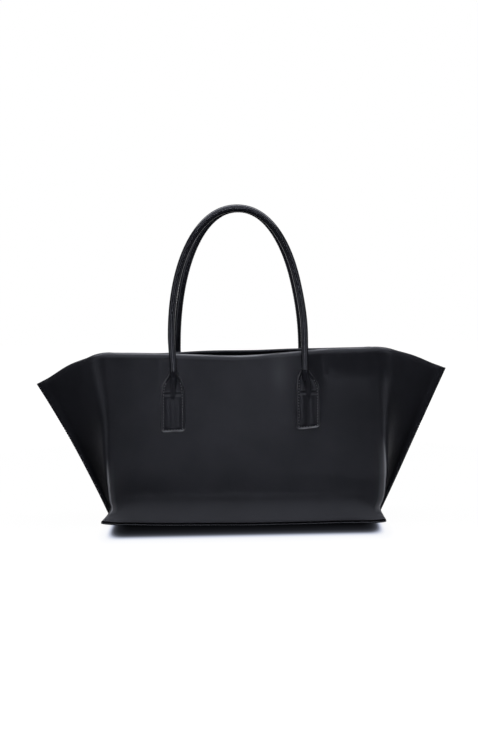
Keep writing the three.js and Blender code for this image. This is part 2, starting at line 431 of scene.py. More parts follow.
@dataclass(frozen=True)
class EdgeInk:
    """Burnished black edge ink: smooth, a touch glossier than the hide, faintly uneven as brushed ink is."""

    name: str = "Black edge ink"
    tone: str = "101113"
    pale: str = "1a1b1e"
    rough: float = 0.34
    cloud: float = 6.0

    def material(self) -> bpy.types.Material:
        """Builds the ink's node material and returns it."""
        material, tree, shader = start_material(self.name)
        place = add_node(tree, "TexCoord").outputs["Object"]
        cloud = add_node(tree, "TexNoise", {"Scale": 1 / (self.cloud * MM), "Detail": 3.0, "Vector": place})
        tint = add_node(tree, "ValToRGB", {"Fac": cloud.outputs["Fac"]})
        tone = set_stops(tint, ((0.0, linear(self.tone)), (1.0, linear(self.pale))))
        rise = {"Strength": 0.1, "Distance": 0.1 * MM, "Height": cloud.outputs["Fac"]}
        bump = add_node(tree, "Bump", rise).outputs["Normal"]
        set_node(shader, {"Base Color": tone, "Normal": bump, "Roughness": self.rough, "IOR": 1.5})
        return material


@dataclass(frozen=True)
class CottonTwill:
    """Black cotton twill, woven: slanting ribs, a matt face and a faint fuzz."""

    name: str = "Black cotton twill"
    valley: str = "0c0c0d"
    rib: str = "1b1b1d"
    rib_pitch: float = 1.6
    slant: float = math.radians(55)
    rough: float = 0.85
    fuzz: float = 0.15

    def material(self) -> bpy.types.Material:
        """Builds the twill's node material and returns it."""
        material, tree, shader = start_material(self.name)
        flat = add_node(tree, "UVMap", {"uv_map": "Sheet"}).outputs["UV"]
        turned = add_node(tree, "Mapping", {"Rotation": (0, 0, self.slant), "Vector": flat}).outputs["Vector"]
        # Twill ribs are about 0.6 mm apart, and are drawn 1.6 mm apart so that they show. A wave of scale s
        # repeats every pi / (10 s).
        weave = {"Scale": math.pi / (10 * self.rib_pitch * MM), "Distortion": 0.6, "Detail": 1.0}
        ribs = add_node(tree, "TexWave", weave | {"Vector": turned}).outputs["Fac"]
        tint = add_node(tree, "ValToRGB", {"Fac": ribs})
        tone = set_stops(tint, ((0.0, linear(self.valley)), (1.0, linear(self.rib))))
        rise = {"Strength": 0.4, "Distance": 0.2 * MM, "Height": ribs}
        bump = add_node(tree, "Bump", rise).outputs["Normal"]
        matt = {"Roughness": self.rough, "Sheen Weight": self.fuzz}
        set_node(shader, {"Base Color": tone, "Normal": bump} | matt)
        return material


@dataclass(frozen=True)
class WaxedThread:
    """Waxed linen thread, twisted: a soft shine on each short stitch."""

    name: str = "Charcoal waxed thread"
    tone: str = "5c5d64"
    light: str = "92939b"
    twist: float = 0.5
    rough: float = 0.5

    def material(self) -> bpy.types.Material:
        """Builds the thread's node material and returns it."""
        material, tree, shader = start_material(self.name)
        place = add_node(tree, "TexCoord").outputs["Object"]
        twist = {"Scale": math.pi / (10 * self.twist * MM), "bands_direction": "DIAGONAL", "Distortion": 1.0}
        strands = add_node(tree, "TexWave", twist | {"Vector": place})
        tint = add_node(tree, "ValToRGB", {"Fac": strands.outputs["Fac"]})
        tone = set_stops(tint, ((0.0, linear(self.tone)), (1.0, linear(self.light))))
        set_node(shader, {"Base Color": tone, "Roughness": self.rough})
        return material


@dataclass(frozen=True)
class FibreBoard:
    """Pressed fibre board: grey-brown, matt, with specks and short fibres."""

    name: str = "Pressed fibre board"
    tone: str = "3a362f"
    speck: str = "574f44"
    fibre: float = 2.5
    rough: float = 0.9

    def material(self) -> bpy.types.Material:
        """Builds the board's node material and returns it."""
        material, tree, shader = start_material(self.name)
        place = add_node(tree, "TexCoord").outputs["Object"]
        specks = {"Scale": 1 / (self.fibre * MM), "Detail": 6.0, "Vector": place}
        fibres = add_node(tree, "TexNoise", specks).outputs["Fac"]
        tint = add_node(tree, "ValToRGB", {"Fac": fibres})
        tone = set_stops(tint, ((0.0, linear(self.tone)), (1.0, linear(self.speck))))
        rise = {"Strength": 0.3, "Distance": 0.2 * MM, "Height": fibres}
        bump = add_node(tree, "Bump", rise).outputs["Normal"]
        set_node(shader, {"Base Color": tone, "Normal": bump, "Roughness": self.rough})
        return material


@dataclass
class Finishes:
    """The bag's materials, each made once."""

    calf: bpy.types.Material = field(default_factory=lambda: BoxCalf().material())
    tab_calf: bpy.types.Material = field(
        default_factory=lambda: BoxCalf("Black tab calf", rough=0.36, rough_spread=0.05, grain=0.8).material()
    )
    handle_calf: bpy.types.Material = field(
        default_factory=lambda: BoxCalf(
            "Black rolled calf", rough=0.18, rough_spread=0.03, grain=0.7, grain_depth=0.02, gloss=1.55
        ).material()
    )
    ink: bpy.types.Material = field(default_factory=lambda: EdgeInk().material())
    twill: bpy.types.Material = field(default_factory=lambda: CottonTwill().material())
    thread: bpy.types.Material = field(default_factory=lambda: WaxedThread().material())
    seam_thread: bpy.types.Material = field(
        default_factory=lambda: WaxedThread("Black waxed thread", "141518", "2a2b2f").material()
    )
    board: bpy.types.Material = field(default_factory=lambda: FibreBoard().material())


@dataclass
class Stitching:
    """Rows of short thread stitches, each a flattened bead that sinks at its ends."""

    length: float = 2.2
    width: float = 1.05
    height: float = 0.55

    def bead(self) -> tuple[np.ndarray, list]:
        """Models one stitch and returns its points, along x and raised along z, and its faces."""
        bpy.ops.object.select_all(action="DESELECT")
        bpy.ops.mesh.primitive_uv_sphere_add(segments=8, ring_count=4, radius=0.5)
        bead = bpy.context.object
        bpy.ops.object.mode_set(mode="EDIT")
        bpy.ops.mesh.select_all(action="SELECT")
        bpy.ops.transform.rotate(
            value=math.pi / 2, orient_axis="Y", center_override=(0, 0, 0), orient_type="GLOBAL"
        )
        bpy.ops.transform.resize(value=(self.length, self.width, 2 * self.height), center_override=(0, 0, 0))
        bpy.ops.object.mode_set(mode="OBJECT")
        points = np.array([v.co for v in bead.data.vertices])
        faces = [tuple(p.vertices) for p in bead.data.polygons]
        bpy.data.objects.remove(bead)
        return points, faces

    def sew(self, name: str, places: np.ndarray, along: np.ndarray, out: np.ndarray) -> bpy.types.Object:
        """Sews a row of stitches.

        Args:
            name: the piece's name.
            places: the middle of each stitch, in millimetres.
            along: the direction of each stitch.
            out: the direction away from the leather under it.

        Returns:
            One object with every stitch.
        """
        points, faces = self.bead()
        along = unit(along)
        out = unit(out - along * np.sum(out * along, axis=1, keepdims=True))
        beside = np.cross(out, along)
        spread = places[:, None] + points[None, :, :1] * along[:, None]
        spread = spread + points[None, :, 1:2] * beside[:, None] + points[None, :, 2:] * out[:, None]
        every = [tuple(i + k * len(points) for i in f) for k in range(len(places)) for f in faces]
        return mesh_object(name, spread.reshape(-1, 3), every, angle=80)


@dataclass
class Wall:
    """One leather wall of the bag with its two half wings, modelled as the front one and turned for the back.

    Left and right are as seen from outside the wall. Heights are above the floor and reaches from the middle.
    A pair of heights is where something starts and where it is fully there.
    """

    side: Side
    rim: Curve
    tips: Pair
    fold_left: Curve
    fold_right: Curve
    seam_bow: Pair
    finishes: Finishes
    # How far its ends are turned back, and how far its foot lifts off the floor.
    turn_back: Pair = (1.5, 1.5)
    turn_across: Pair = (0.3, 1.1)
    turn_heights: Pair = (10.0, 190.0)
    lift_left: Curve = ((0.0, 0.0), (0.62, 0.1), (0.95, 0.9), (1.0, 1.2))
    lift_right: Curve = ((0.0, 0.0), (0.62, 0.1), (0.95, 0.9), (1.0, 1.2))
    foot: float = 2.05
    usual_height: float = 200.0
    half_front: float = 172.0
    # The side seams.
    seam_foot: Pair = (161.7, 164.0)
    seam_tip: Pair = (246.2, 243.6)
    seam_pitch: float = 3.4
    seam_ends: Pair = (7.0, 6.0)
    seam_column: float = 1.7
    seam_clear: float = 0.35
    allowance: float = 6.0
    half_gap: float = 0.15
    # The leather and its rolled rim.
    leather: float = 1.8
    rim_roll: float = 4.2
    rim_curl: float = 3.0
    rim_band: float = 6.0
    roll_end: Pair = (0.6, 1.3)
    # How far it stands out by height, with the toe flaring below the waist, and the belly.
    lean: Curve = (
        (0.0, 61.3),
        (34.0, 60.9),
        (48.0, 61.0),
        (64.0, 60.7),
        (92.0, 59.1),
        (140.0, 55.9),
        (210.0, 51.7),
    )
    flare: float = 13.6
    flare_at_ears: float = 9.4
    waist: float = 36.5
    waist_at_ears: float = 13.0
    waist_soft: float = 0.15
    crease_from: float = 0.76
    toe_slope: float = 0.47
    toe_kick: float = 0.7
    toe_ease: float = 0.25
    toe_roll: float = 2.6
    toe_edge: float = 2.2
    belly: float = 1.2
    belly_foot: float = 30.0
    belly_height: float = 145.0
    # The folds and the wings.
    fold_setback: Curve = ((0.0, 2.0), (0.2, 4.5), (0.5, 8.0), (0.8, 12.0), (1.0, 14.0))
    crease_back: Pair = (3.0, 8.0)
    wing_arch: Pair = (3.0, 1.6)
    wing_hollow: float = 0.9
    # The columns of points across the face.
    flange_columns: int = 2
    crease_columns: int = 6
    wing_columns: int = 14
    bend_columns: int = 11
    front_columns: int = 60
    fold_column: int = 30
    free_columns: Pair = (4, 14)
    # What the handles draw back and press flat, and the right shoulder, stepped back below a nodding rim.
    handle_reach: float = 80.0
    handle_pull: float = 1.5
    pull_spots: tuple[Pair, ...] = ((-66.0, 24.0), (96.0, 20.0))
    pull_heights: Pair = (92.0, 150.0)
    press_width: float = 24.0
    press_heights: Pair = (150.0, 178.0)
    step_back: float = 0.0
    step_start: Pair = (75.0, 98.0)
    step_end: Pair = (125.0, 172.0)
    step_heights: Pair = (120.0, 192.0)
    nod: float = 0.0
    nod_spot: Pair = (138.0, 54.0)
    nod_heights: Pair = (168.0, 212.0)
    rim_lean: tuple[tuple[float, float, float], ...] = ()
    lean_heights: Pair = (158.0, 206.0)
    # The hide's unevenness, the waves under the rim and the sag of the lining.
    uneven: float = 1.2
    uneven_spacing: float = 85.0
    free_rows: Pair = (0.12, 0.35)
    wave: float = 1.8
    wave_spacing: float = 42.0
    wave_reach: float = 55.0
    wave_stretch: tuple[float, float, float] = (1.0, 0.2, 0.35)
    wave_seed: float = 5.0
    sag_spacing: float = 38.0
    sag_seed: float = 21.0
    # Painted highlights low on the folds, on the toe, in a streak and along the rim, lighter cut edges, and
    # which faces are inked.
    fold_sheen_tops: tuple[Pair, Pair] = ((50.0, 84.0), (66.0, 108.0))
    fold_sheen_from: Pair = (11.0, 19.0)
    fold_crest: float = 1.0
    fold_sheen: tuple[Pair, Pair] = ((1.2, 0.035), (2.0, 0.012))
    sheen_near: float = 0.75
    sheen_width: float = 15.0
    toe_sheen: Pair = (0.012, 0.034)
    toe_ends: Pair = (0.5, 0.95)
    toe_heights: Pair = (16.0, 34.0)
    toe_columns: int = 3
    sheen_spots: tuple[tuple[float, float, float, float, float], ...] = ()
    rim_sheen: Curve = ((-170.0, 0.05), (-140.0, 0.4), (140.0, 0.4), (170.0, 0.05))
    rim_sheen_depth: float = 2.4
    edge_wear_and_sheen: float = 0.06
    edge_band: Pair = (1.0, 1.0)
    ink_facing: float = 0.75
    ink_reach: float = 4.0
    grid: np.ndarray = field(init=False)
    normals: np.ndarray = field(init=False)

    def __post_init__(self) -> None:
        """Works out the wall's outer face once."""
        self.grid = self.face(self.shares(), 0.0)
        self.normals = surface_normals(self.grid)

    @property
    def seam_columns(self) -> int:
        """How many columns the cut edge, the flange and its crease take up."""
        return 1 + self.flange_columns + self.crease_columns

    @staticmethod
    def shares() -> np.ndarray:
        """Gives the rows of the wall from foot to rim as shares of its height, closer where it bends."""
        low = np.linspace(0, 0.2, 26)
        high = np.linspace(0.2, 0.96, 44)[1:]
        return np.concatenate([low, high, np.linspace(0.96, 1, 9)[1:]])

    def rows(self, low: float, high: float) -> slice:
        """Gives the rows of the wall between two shares of its height."""
        return slice(*np.searchsorted(self.shares(), (low, high)).tolist())

    def height(self, share: np.ndarray, top: np.ndarray | float) -> np.ndarray:
        """Gives the height of rows on an upright line that ends at a top."""
        return self.foot + share * (np.asarray(top) - self.foot)

    def depth(self, across: np.ndarray, z: np.ndarray) -> np.ndarray:
        """Gives how far the face stands out from the middle of the bag.

        Args:
            across: place between the folds, from -1 to 1.
            z: height in millimetres.

        Returns:
            The distance in front of the bag's middle plane.
        """
        corner = smooth(self.crease_from, 1.0, np.abs(across))
        waist = self.waist + (self.waist_at_ears - self.waist) * corner
        reach = self.flare + (self.flare_at_ears - self.flare) * np.abs(across) ** 3
        below = 1 - z / waist
        below = (below + np.sqrt(below**2 + self.waist_soft**2)) / 2
        kick = below - self.toe_ease * (1 - np.exp(-below / self.toe_ease))
        toe = reach * (self.toe_slope * below + self.toe_kick * kick)
        toe = toe - self.toe_roll * np.clip(1 - (z - self.foot) / self.toe_edge, 0, 1) ** 2
        turned = np.where(across < 0, self.turn_back[0], self.turn_back[1])
        turned = turned * smooth(*self.turn_across, np.abs(across)) * smooth(*self.turn_heights, z)
        rise = np.clip((z - self.belly_foot) / self.belly_height, 0, 1)
        belly = self.belly * (1 - across**2) ** 2 * np.sin(math.pi * rise)
        x = across * self.half_front
        pull = self.handle_pull * sum(bell(x, *spot) for spot in self.pull_spots)
        pull = pull * smooth(*self.pull_heights, z)
        step = self.step_back * smooth(*self.step_start, x) * (1 - smooth(*self.step_end, x))
        pull = pull + step * smooth(*self.step_heights, z)
        forward = sum(amount * bell(x, at, wide, 4) for at, wide, amount in self.rim_lean)
        forward = forward * smooth(*self.lean_heights, z)
        nod = self.nod * bell(x, *self.nod_spot, 4) * smooth(*self.nod_heights, z)
        return through(self.lean, z) + toe - turned + belly - pull + forward + nod

    def side_lines(self, share: np.ndarray, left: bool) -> tuple[np.ndarray, np.ndarray, np.ndarray]:
        """Gives the fold, the seam and the cut edge of one wing.

        Args:
            share: the rows.
            left: whether it is the left wing.

        Returns:
            Three lines of points.
        """
        sign, number = (-1.0, 0) if left else (1.0, 1)
        rim, tip = self.rim[-number][1], self.tips[number]
        z = self.height(share, rim)
        reach = through(self.fold_left if left else self.fold_right, z)
        fold = np.stack([sign * reach, -self.depth(np.full_like(z, sign), z), z], -1)
        foot, top = self.seam_foot[number], self.seam_tip[number]
        x = foot + share * (top - foot) - self.seam_bow[number] * 4 * share * (1 - share)
        level = np.full_like(x, -self.leather - self.half_gap)
        z = self.height(share, tip)
        fall = (rim - tip) / (top + self.allowance - self.half_front)
        seam = np.stack([sign * x, level, z + fall * self.allowance * share], -1)
        return fold, seam, np.stack([sign * (x + self.allowance), level, z], -1)

    @staticmethod
    def corner(
        before: np.ndarray, at: np.ndarray, after: np.ndarray, back: np.ndarray, steps: int
    ) -> np.ndarray:
        """Rounds a corner of every row.

        Args:
            before: a point on the way to the corner.
            at: the corner.
            after: a point on the way from it.
            back: how far before and after the corner the rounding starts and ends.
            steps: number of points.

        Returns:
            Points of the rounded corner, as rows and columns.
        """
        start = at + unit(before - at) * back[:, None]
        stop = at + unit(after - at) * back[:, None]
        t = np.linspace(0, 1, steps)[None, :, None]
        return (1 - t) ** 2 * start[:, None] + 2 * t * (1 - t) * at[:, None] + t**2 * stop[:, None]

    @staticmethod
    def straight(start: np.ndarray, stop: np.ndarray, steps: int) -> np.ndarray:
        """Fills in columns between two lines, without the lines themselves."""
        t = np.linspace(0, 1, steps + 2)[1:-1][None, :, None]
        return start[:, None] * (1 - t) + stop[:, None] * t

    def wing(self, share: np.ndarray, left: bool, least: float) -> np.ndarray:
        """Models one half wing, from its cut edge to the end of the fold.

        Args:
            share: the rows.
            left: whether it is the left wing.
            least: smallest rounding of the fold.

        Returns:
            Points as rows and columns, from the cut edge inwards.
        """
        fold, seam, edge = self.side_lines(share, left)
        inwards = fold + np.array([1.0 if left else -1.0, 0, 0])
        turn = np.maximum(through(self.fold_setback, share), least)
        bend = self.corner(seam, fold, inwards, turn, self.bend_columns)
        low, high = self.crease_back
        crease = self.corner(edge, seam, fold, low + (high - low) * share, self.crease_columns)
        panel = self.straight(crease[:, -1], bend[:, 0], self.wing_columns)
        swell = np.sin(math.pi * np.linspace(0, 1, self.wing_columns + 2)[1:-1])[None, :]
        arch = self.wing_arch[0 if left else 1]
        panel[:, :, 2] += arch * (share**2)[:, None] * swell**1.5
        panel[:, :, 1] += self.wing_hollow * np.sin(math.pi * share)[:, None] * swell**2
        flange = self.straight(edge, crease[:, 0], self.flange_columns)
        return np.concatenate([edge[:, None], flange, crease, panel, bend], axis=1)

    def face(self, share: np.ndarray, least: float) -> np.ndarray:
        """Models the wall's outer face.

        Args:
            share: the rows.
            least: smallest rounding of the folds.

        Returns:
            Points as rows from the foot up and columns from left to right.
        """
        left = self.wing(share, True, least)
        right = self.wing(share, False, least)[:, ::-1]
        middle = self.straight(left[:, -1], right[:, 0], self.front_columns)
        across = np.clip(middle[:, :, 0] / self.half_front, -1, 1)
        middle[:, :, 2] = self.height(share[:, None], through(self.rim, across))
        middle[:, :, 1] = -self.depth(across, middle[:, :, 2])
        grid = np.concatenate([left, middle, right], axis=1)
        near_rim = np.clip(1 - self.below_rim(grid) / self.rim_band, 0, 1)
        grid[:, :, 2] += self.lift(grid[:, :, 0]) * ((1 - share) ** 6)[:, None]
        grid[:, :, 1] += self.rim_curl * near_rim**2 * self.inside(grid)
        return self.settle(grid, share)

    def lift(self, x: np.ndarray) -> np.ndarray:
        """Gives how far the foot stands off the floor at places across, most at the ears."""
        share = np.abs(x) / self.half_front
        return np.where(x < 0, through(self.lift_left, share), through(self.lift_right, share))

    @staticmethod
    def below_rim(grid: np.ndarray) -> np.ndarray:
        """Gives how far each point of a face lies from the rim's point in its column."""
        return np.linalg.norm(grid[-1:] - grid, axis=-1)

    @staticmethod
    def from_seam(grid: np.ndarray) -> np.ndarray:
        """Gives how many columns each column of a face lies from the nearer side seam."""
        count = np.arange(grid.shape[1])
        return np.minimum(count, count[::-1])

    def inside(self, grid: np.ndarray) -> np.ndarray:
        """Gives 0 at the side seams of a face, rising to 1 a little way in."""
        return smooth(*self.free_columns, self.from_seam(grid))[None, :]

    def settle(self, grid: np.ndarray, share: np.ndarray) -> np.ndarray:
        """Adds the hide's own unevenness and the soft waves under the rim.

        Args:
            grid: the even face.
            share: its rows.

        Returns:
            The face as the leather has settled.
        """
        free = self.inside(grid) * smooth(*self.free_rows, share)[:, None]
        wide = ripple(grid, self.uneven_spacing, self.side.seed) * self.uneven
        near_rim = bell((1 - share) * self.usual_height, 0, self.wave_reach)[:, None]
        upright = grid * np.array(self.wave_stretch)
        waves = ripple(upright, self.wave_spacing, self.side.seed + self.wave_seed) * self.wave * near_rim
        amount = (wide + waves) * free
        pressed = bell(np.abs(grid[:, :, 0]), self.handle_reach, self.press_width)
        pressed = pressed * smooth(*self.press_heights, grid[:, :, 2])
        grid = grid.copy()
        grid[:, :, 1] -= np.where(amount > 0, amount * (1 - pressed), amount)
        return grid

    def turned(self, points: np.ndarray) -> np.ndarray:
        """Takes points of the front's frame to this wall's side."""
        return points * np.array([self.side.turn, self.side.turn, 1.0])

    def on_face(self, x: np.ndarray, z: np.ndarray) -> tuple[np.ndarray, np.ndarray]:
        """Finds places on the outer face between the folds.

        Args:
            x: places across, from the middle.
            z: heights.

        Returns:
            The points and the outward normals, in the front's frame.
        """
        x, z = np.broadcast_arrays(np.asarray(x, float), np.asarray(z, float))
        rows, columns = self.grid.shape[:2]
        r = np.full(x.shape, rows / 2.0)
        c = np.full(x.shape, columns / 2.0)
        # Each step goes a little less than the whole way, so that the search settles.
        for _ in range(24):
            point = self.read(self.grid, r, c)
            step_c = self.read(self.grid, r, c + 0.5) - self.read(self.grid, r, c - 0.5)
            step_r = self.read(self.grid, r + 0.5, c) - self.read(self.grid, r - 0.5, c)
            c = np.clip(c + 0.8 * (x - point[..., 0]) / step_c[..., 0], 1, columns - 2)
            r = np.clip(r + 0.8 * (z - point[..., 2]) / step_r[..., 2], 1, rows - 2)
        return self.read(self.grid, r, c), unit(self.read(self.normals, r, c))

    @staticmethod
    def read(grid: np.ndarray, r: np.ndarray, c: np.ndarray) -> np.ndarray:
        """Reads a grid between its points.

        Args:
            grid: rows and columns of vectors.
            r: row places, whole or between.
            c: column places.

        Returns:
            The vector at each place.
        """
        r = np.clip(r, 0, grid.shape[0] - 1.001)
        c = np.clip(c, 0, grid.shape[1] - 1.001)
        i, j = r.astype(int), c.astype(int)
        a, b = (r - i)[..., None], (c - j)[..., None]
        low = grid[i, j] * (1 - b) + grid[i, j + 1] * b
        high = grid[i + 1, j] * (1 - b) + grid[i + 1, j + 1] * b
        return low * (1 - a) + high * a

    def build_panel(self) -> bpy.types.Object:
        """Makes the leather wall with its rolled rim and inked side edges."""
        flat_share = smooth(*self.roll_end, self.below_rim(self.grid) / self.rim_band)
        roll = (self.rim_roll - self.leather) * (1 - flat_share)
        thick = self.leather + roll * self.inside(self.grid)
        inner = self.grid - self.normals * thick[:, :, None]
        level = np.minimum(inner[:, :, 1], -self.half_gap)
        at_seam = self.from_seam(self.grid)[None, :] < self.seam_columns
        inner[:, :, 1] = np.where(at_seam, level, inner[:, :, 1])
        piece = shell(f"{self.side.value}_wall", self.turned(self.grid), self.turned(inner), round_steps=5)
        self.mark_sheen_and_wear(piece)
        bevel_edges(piece, width=0.45)
        piece.data.materials.append(self.finishes.calf)
        piece.data.materials.append(self.finishes.ink)
        for polygon in piece.data.polygons:
            at_edge = abs(polygon.center.y) < self.ink_reach * MM
            polygon.material_index = int(at_edge and abs(polygon.normal.x) > self.ink_facing)
        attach(piece, "bag")
        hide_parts(f"{self.side.value}_panel")
        return piece

    def mark_sheen_and_wear(self, piece: bpy.types.Object) -> None:
        """Writes painted highlights low on the folds, on the toe, in the given streaks and along the rim, and
        makes the cut edges a little lighter.

        Args:
            piece: the leather wall.
        """
        steps = np.linalg.norm(np.diff(self.grid, axis=1, prepend=self.grid[:, :1]), axis=-1)
        run = np.cumsum(steps, axis=1)
        x, z = self.grid[:, :, 0], self.grid[:, :, 2]
        sheen_and_wear = np.zeros_like(z)
        last = self.grid.shape[1] - 1
        # Painted highlight along the lower part of each fold: a crisp line with a soft skirt on its front
        # side.
        places = ((self.fold_column, 1, 0), (last - self.fold_column, -1, 1))
        for column, inwards, number in places:
            off = inwards * (run - run[:, column : column + 1])
            near, wide = self.fold_sheen[number]
            soft = self.sheen_near * np.exp(-off / near) + wide * bell(off, 0, self.sheen_width)
            shine = np.maximum(bell(off, 0, self.fold_crest), np.where(off > 0, soft, 0))
            low = smooth(*self.fold_sheen_from, z) * (1 - smooth(*self.fold_sheen_tops[number], z))
            sheen_and_wear = np.maximum(sheen_and_wear, shine * low)
        # A faint painted highlight on the toe, stronger towards the ends.
        ends = smooth(*self.toe_ends, np.abs(x) / self.half_front)
        toe_lightening = self.toe_sheen[0] + (self.toe_sheen[1] - self.toe_sheen[0]) * ends
        front_only = smooth(0, self.toe_columns, self.from_seam(self.grid) - self.fold_column)
        sheen_and_wear = np.maximum(sheen_and_wear, toe_lightening * front_only * (1 - smooth(*self.toe_heights, z)))
        # Painted highlight streaks.
        for at, height, half_width, half_height, amount in self.sheen_spots:
            sheen_and_wear = np.maximum(sheen_and_wear, amount * bell(x, at, half_width) * bell(z, height, half_height))
        # The cut edges a little lighter.
        edge = np.minimum(run, run[:, -1:] - run)
        sheen_and_wear = np.maximum(sheen_and_wear, self.edge_wear_and_sheen * bell(edge, *self.edge_band))
        # Painted highlight along the top of the rim, stronger in some places than others.
        sheen_polish = through(self.rim_sheen, x[-1:]) * self.inside(self.grid)
        sheen_and_wear = np.maximum(sheen_and_wear, sheen_polish * (1 - smooth(0, self.rim_sheen_depth, self.below_rim(self.grid))))
        set_sheen_and_wear(piece, sheen_and_wear)

    def layer(
        self, name: str, rows: slice, least: float, outer: float, thick: float, sag: float
    ) -> bpy.types.Object:
        """Makes a sheet that lies inside the wall.

        Args:
            name: the piece's name.
            rows: which rows of the wall it covers.
            least: smallest rounding at the folds.
            outer: how far its outer face lies inside the wall's.
            thick: its thickness.
            sag: depth of its loose waves.

        Returns:
            The closed sheet.
        """
        grid = self.face(self.shares(), least)
        normals = surface_normals(grid)
        columns = slice(self.seam_columns, grid.shape[1] - self.seam_columns)
        loose = sag * (1 + ripple(grid, self.sag_spacing, self.sag_seed + outer))[:, :, None]
        first = (grid - normals * (outer + loose))[rows, columns]
        second = (grid - normals * (outer + loose + thick))[rows, columns]
        limit = -self.half_gap - self.seam_clear
        first[:, :, 1] = np.minimum(first[:, :, 1], limit - thick)
        second[:, :, 1] = np.minimum(second[:, :, 1], limit)
        return shell(name, self.turned(first), self.turned(second))

    def build_facing(self) -> bpy.types.Object:
        """Makes the leather facing under the rolled rim."""
        name, rows = f"{self.side.value}_rim_facing", self.rows(0.83, 0.96)
        piece = self.layer(name, rows, least=6.0, outer=2.1, thick=1.2, sag=0.0)
        bevel_edges(piece, width=0.3)
        piece.data.materials.append(self.finishes.calf)
        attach(piece, "bag")
        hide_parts(f"{self.side.value}_facing")
        return piece

    def build_lining(self) -> bpy.types.Object:
        """Makes the cloth lining of the wall, a little loose."""
        name, rows = f"{self.side.value}_wall_lining", self.rows(0.022, 0.845)
        piece = self.layer(name, rows, least=12.0, outer=3.5, thick=0.8, sag=0.7)
        piece.data.materials.append(self.finishes.twill)
        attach(piece, "bag")
        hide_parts(f"{self.side.value}_lining")
        return piece

    def build_seam_stitches(self, stitching: Stitching) -> bpy.types.Object:
        """Sews the two side seams, a row up each flange.

        Args:
            stitching: the thread and its stitch.

        Returns:
            The stitches.
        """
        places, along = [], []
        rows = np.linspace(0, self.grid.shape[0] - 1.01, 400)
        for column in (self.seam_column, self.grid.shape[1] - 1 - self.seam_column):
            line = self.read(self.grid, rows, np.full_like(rows, column))
            run = run_along(line)
            stops = np.arange(self.seam_ends[0], run[-1] - self.seam_ends[1], self.seam_pitch)
            spots = read_along(stops, run, line)
            places.append(spots)
            along.append(np.gradient(spots, axis=0))
        out = np.tile([0.0, -1.0, 0.0], (sum(len(p) for p in places), 1))
        piece = stitching.sew(
            f"{self.side.value}_seam_stitches",
            self.turned(np.concatenate(places)),
            self.turned(np.concatenate(along)),
            self.turned(out),
        )
        piece.data.materials.append(self.finishes.seam_thread)
        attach(piece, "bag")
        return piece


@dataclass
class Floor:
    """The base of the bag: its leather, the stiff board and the lining over it."""

    finishes: Finishes
    front: Wall
    back: Wall
    half_width: float = 172.0
    half_depth: float = 71.5
    front_bow: float = 3.4
    side_bow: float = 5.0
    corner_cut: float = 1.6
    corner_from: Pair = (0.94, 0.965)
    lift_from: Pair = (0.1, 0.9)
    leather: float = 1.6
    lip: float = 0.2
    lip_from: float = 0.985
    lining: float = 0.8
    lining_half_width: float = 160.0
    lining_half_depth: float = 66.0
    lining_level: float = 5.0
    lining_sag: float = 0.3
    sag_spacing: float = 30.0
    sag_seed: float = 4.4

    def outline(self, s: np.ndarray, t: np.ndarray) -> tuple[np.ndarray, np.ndarray, np.ndarray]:
        """Maps a square of -1 to 1 onto the base.

        Args:
            s: place along the length.
            t: place along the depth.

        Returns:
            x, y and how far the walls lift it off the floor.
        """
        cut_x = self.corner_cut * smooth(self.corner_from[0], 1, np.abs(t))
        cut_y = self.corner_cut * smooth(self.corner_from[1], 1, np.abs(s))
        x = s * (self.half_width - self.side_bow * (1 - t**2) * s**2 - cut_x)
        y = t * (self.half_depth + self.front_bow * (1 - s**2) * t**2 - cut_y)
        lift = np.where(t < 0, self.front.lift(x), self.back.lift(-x))
        return x, y, lift * smooth(*self.lift_from, np.abs(t))

    def build_leather(self) -> bpy.types.Object:
        """Makes the base leather, with its edge standing out round the walls as a thin lip."""
        s, t = np.meshgrid(np.linspace(-1, 1, 90), np.linspace(-1, 1, 44))
        x, y, lift = self.outline(s, t)
        rim = np.maximum(np.abs(s), np.abs(t))
        under = smooth(self.lip_from, 1.0, rim) * self.lip
        bottom = np.stack([x, y, lift + under], -1)
        top = np.stack([x, y, lift + self.leather], -1)
        piece = shell("base_leather", bottom[::-1], top[::-1])
        bevel_edges(piece, width=0.7, segments=3)
        piece.data.materials.append(self.finishes.calf)
        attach(piece, "bag")
        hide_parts("base_panel")
        return piece

    def build_lining(self) -> bpy.types.Object:
        """Makes the cloth over the floor board, drawn over its edges."""
        s, t = np.meshgrid(np.linspace(-1, 1, 70), np.linspace(-1, 1, 34))
        x, y = s * self.lining_half_width, t * self.lining_half_depth
        place = np.stack([x, y, np.zeros_like(x)], -1)
        level = self.lining_level + self.lining_sag * (1 + ripple(place, self.sag_spacing, self.sag_seed))
        top = np.stack([x, y, level + self.lining], -1)
        bottom = np.stack([x, y, level], -1)
        piece = shell("floor_lining", bottom[::-1], top[::-1])
        bevel_edges(piece, width=0.25)
        piece.data.materials.append(self.finishes.twill)
        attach(piece, "bag")
        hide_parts("base_lining")
        return piece

    def dress_board(self) -> None:
        """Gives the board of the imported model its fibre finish."""
        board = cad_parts["base_board"]
        board.data.materials.clear()
        board.data.materials.append(self.finishes.board)


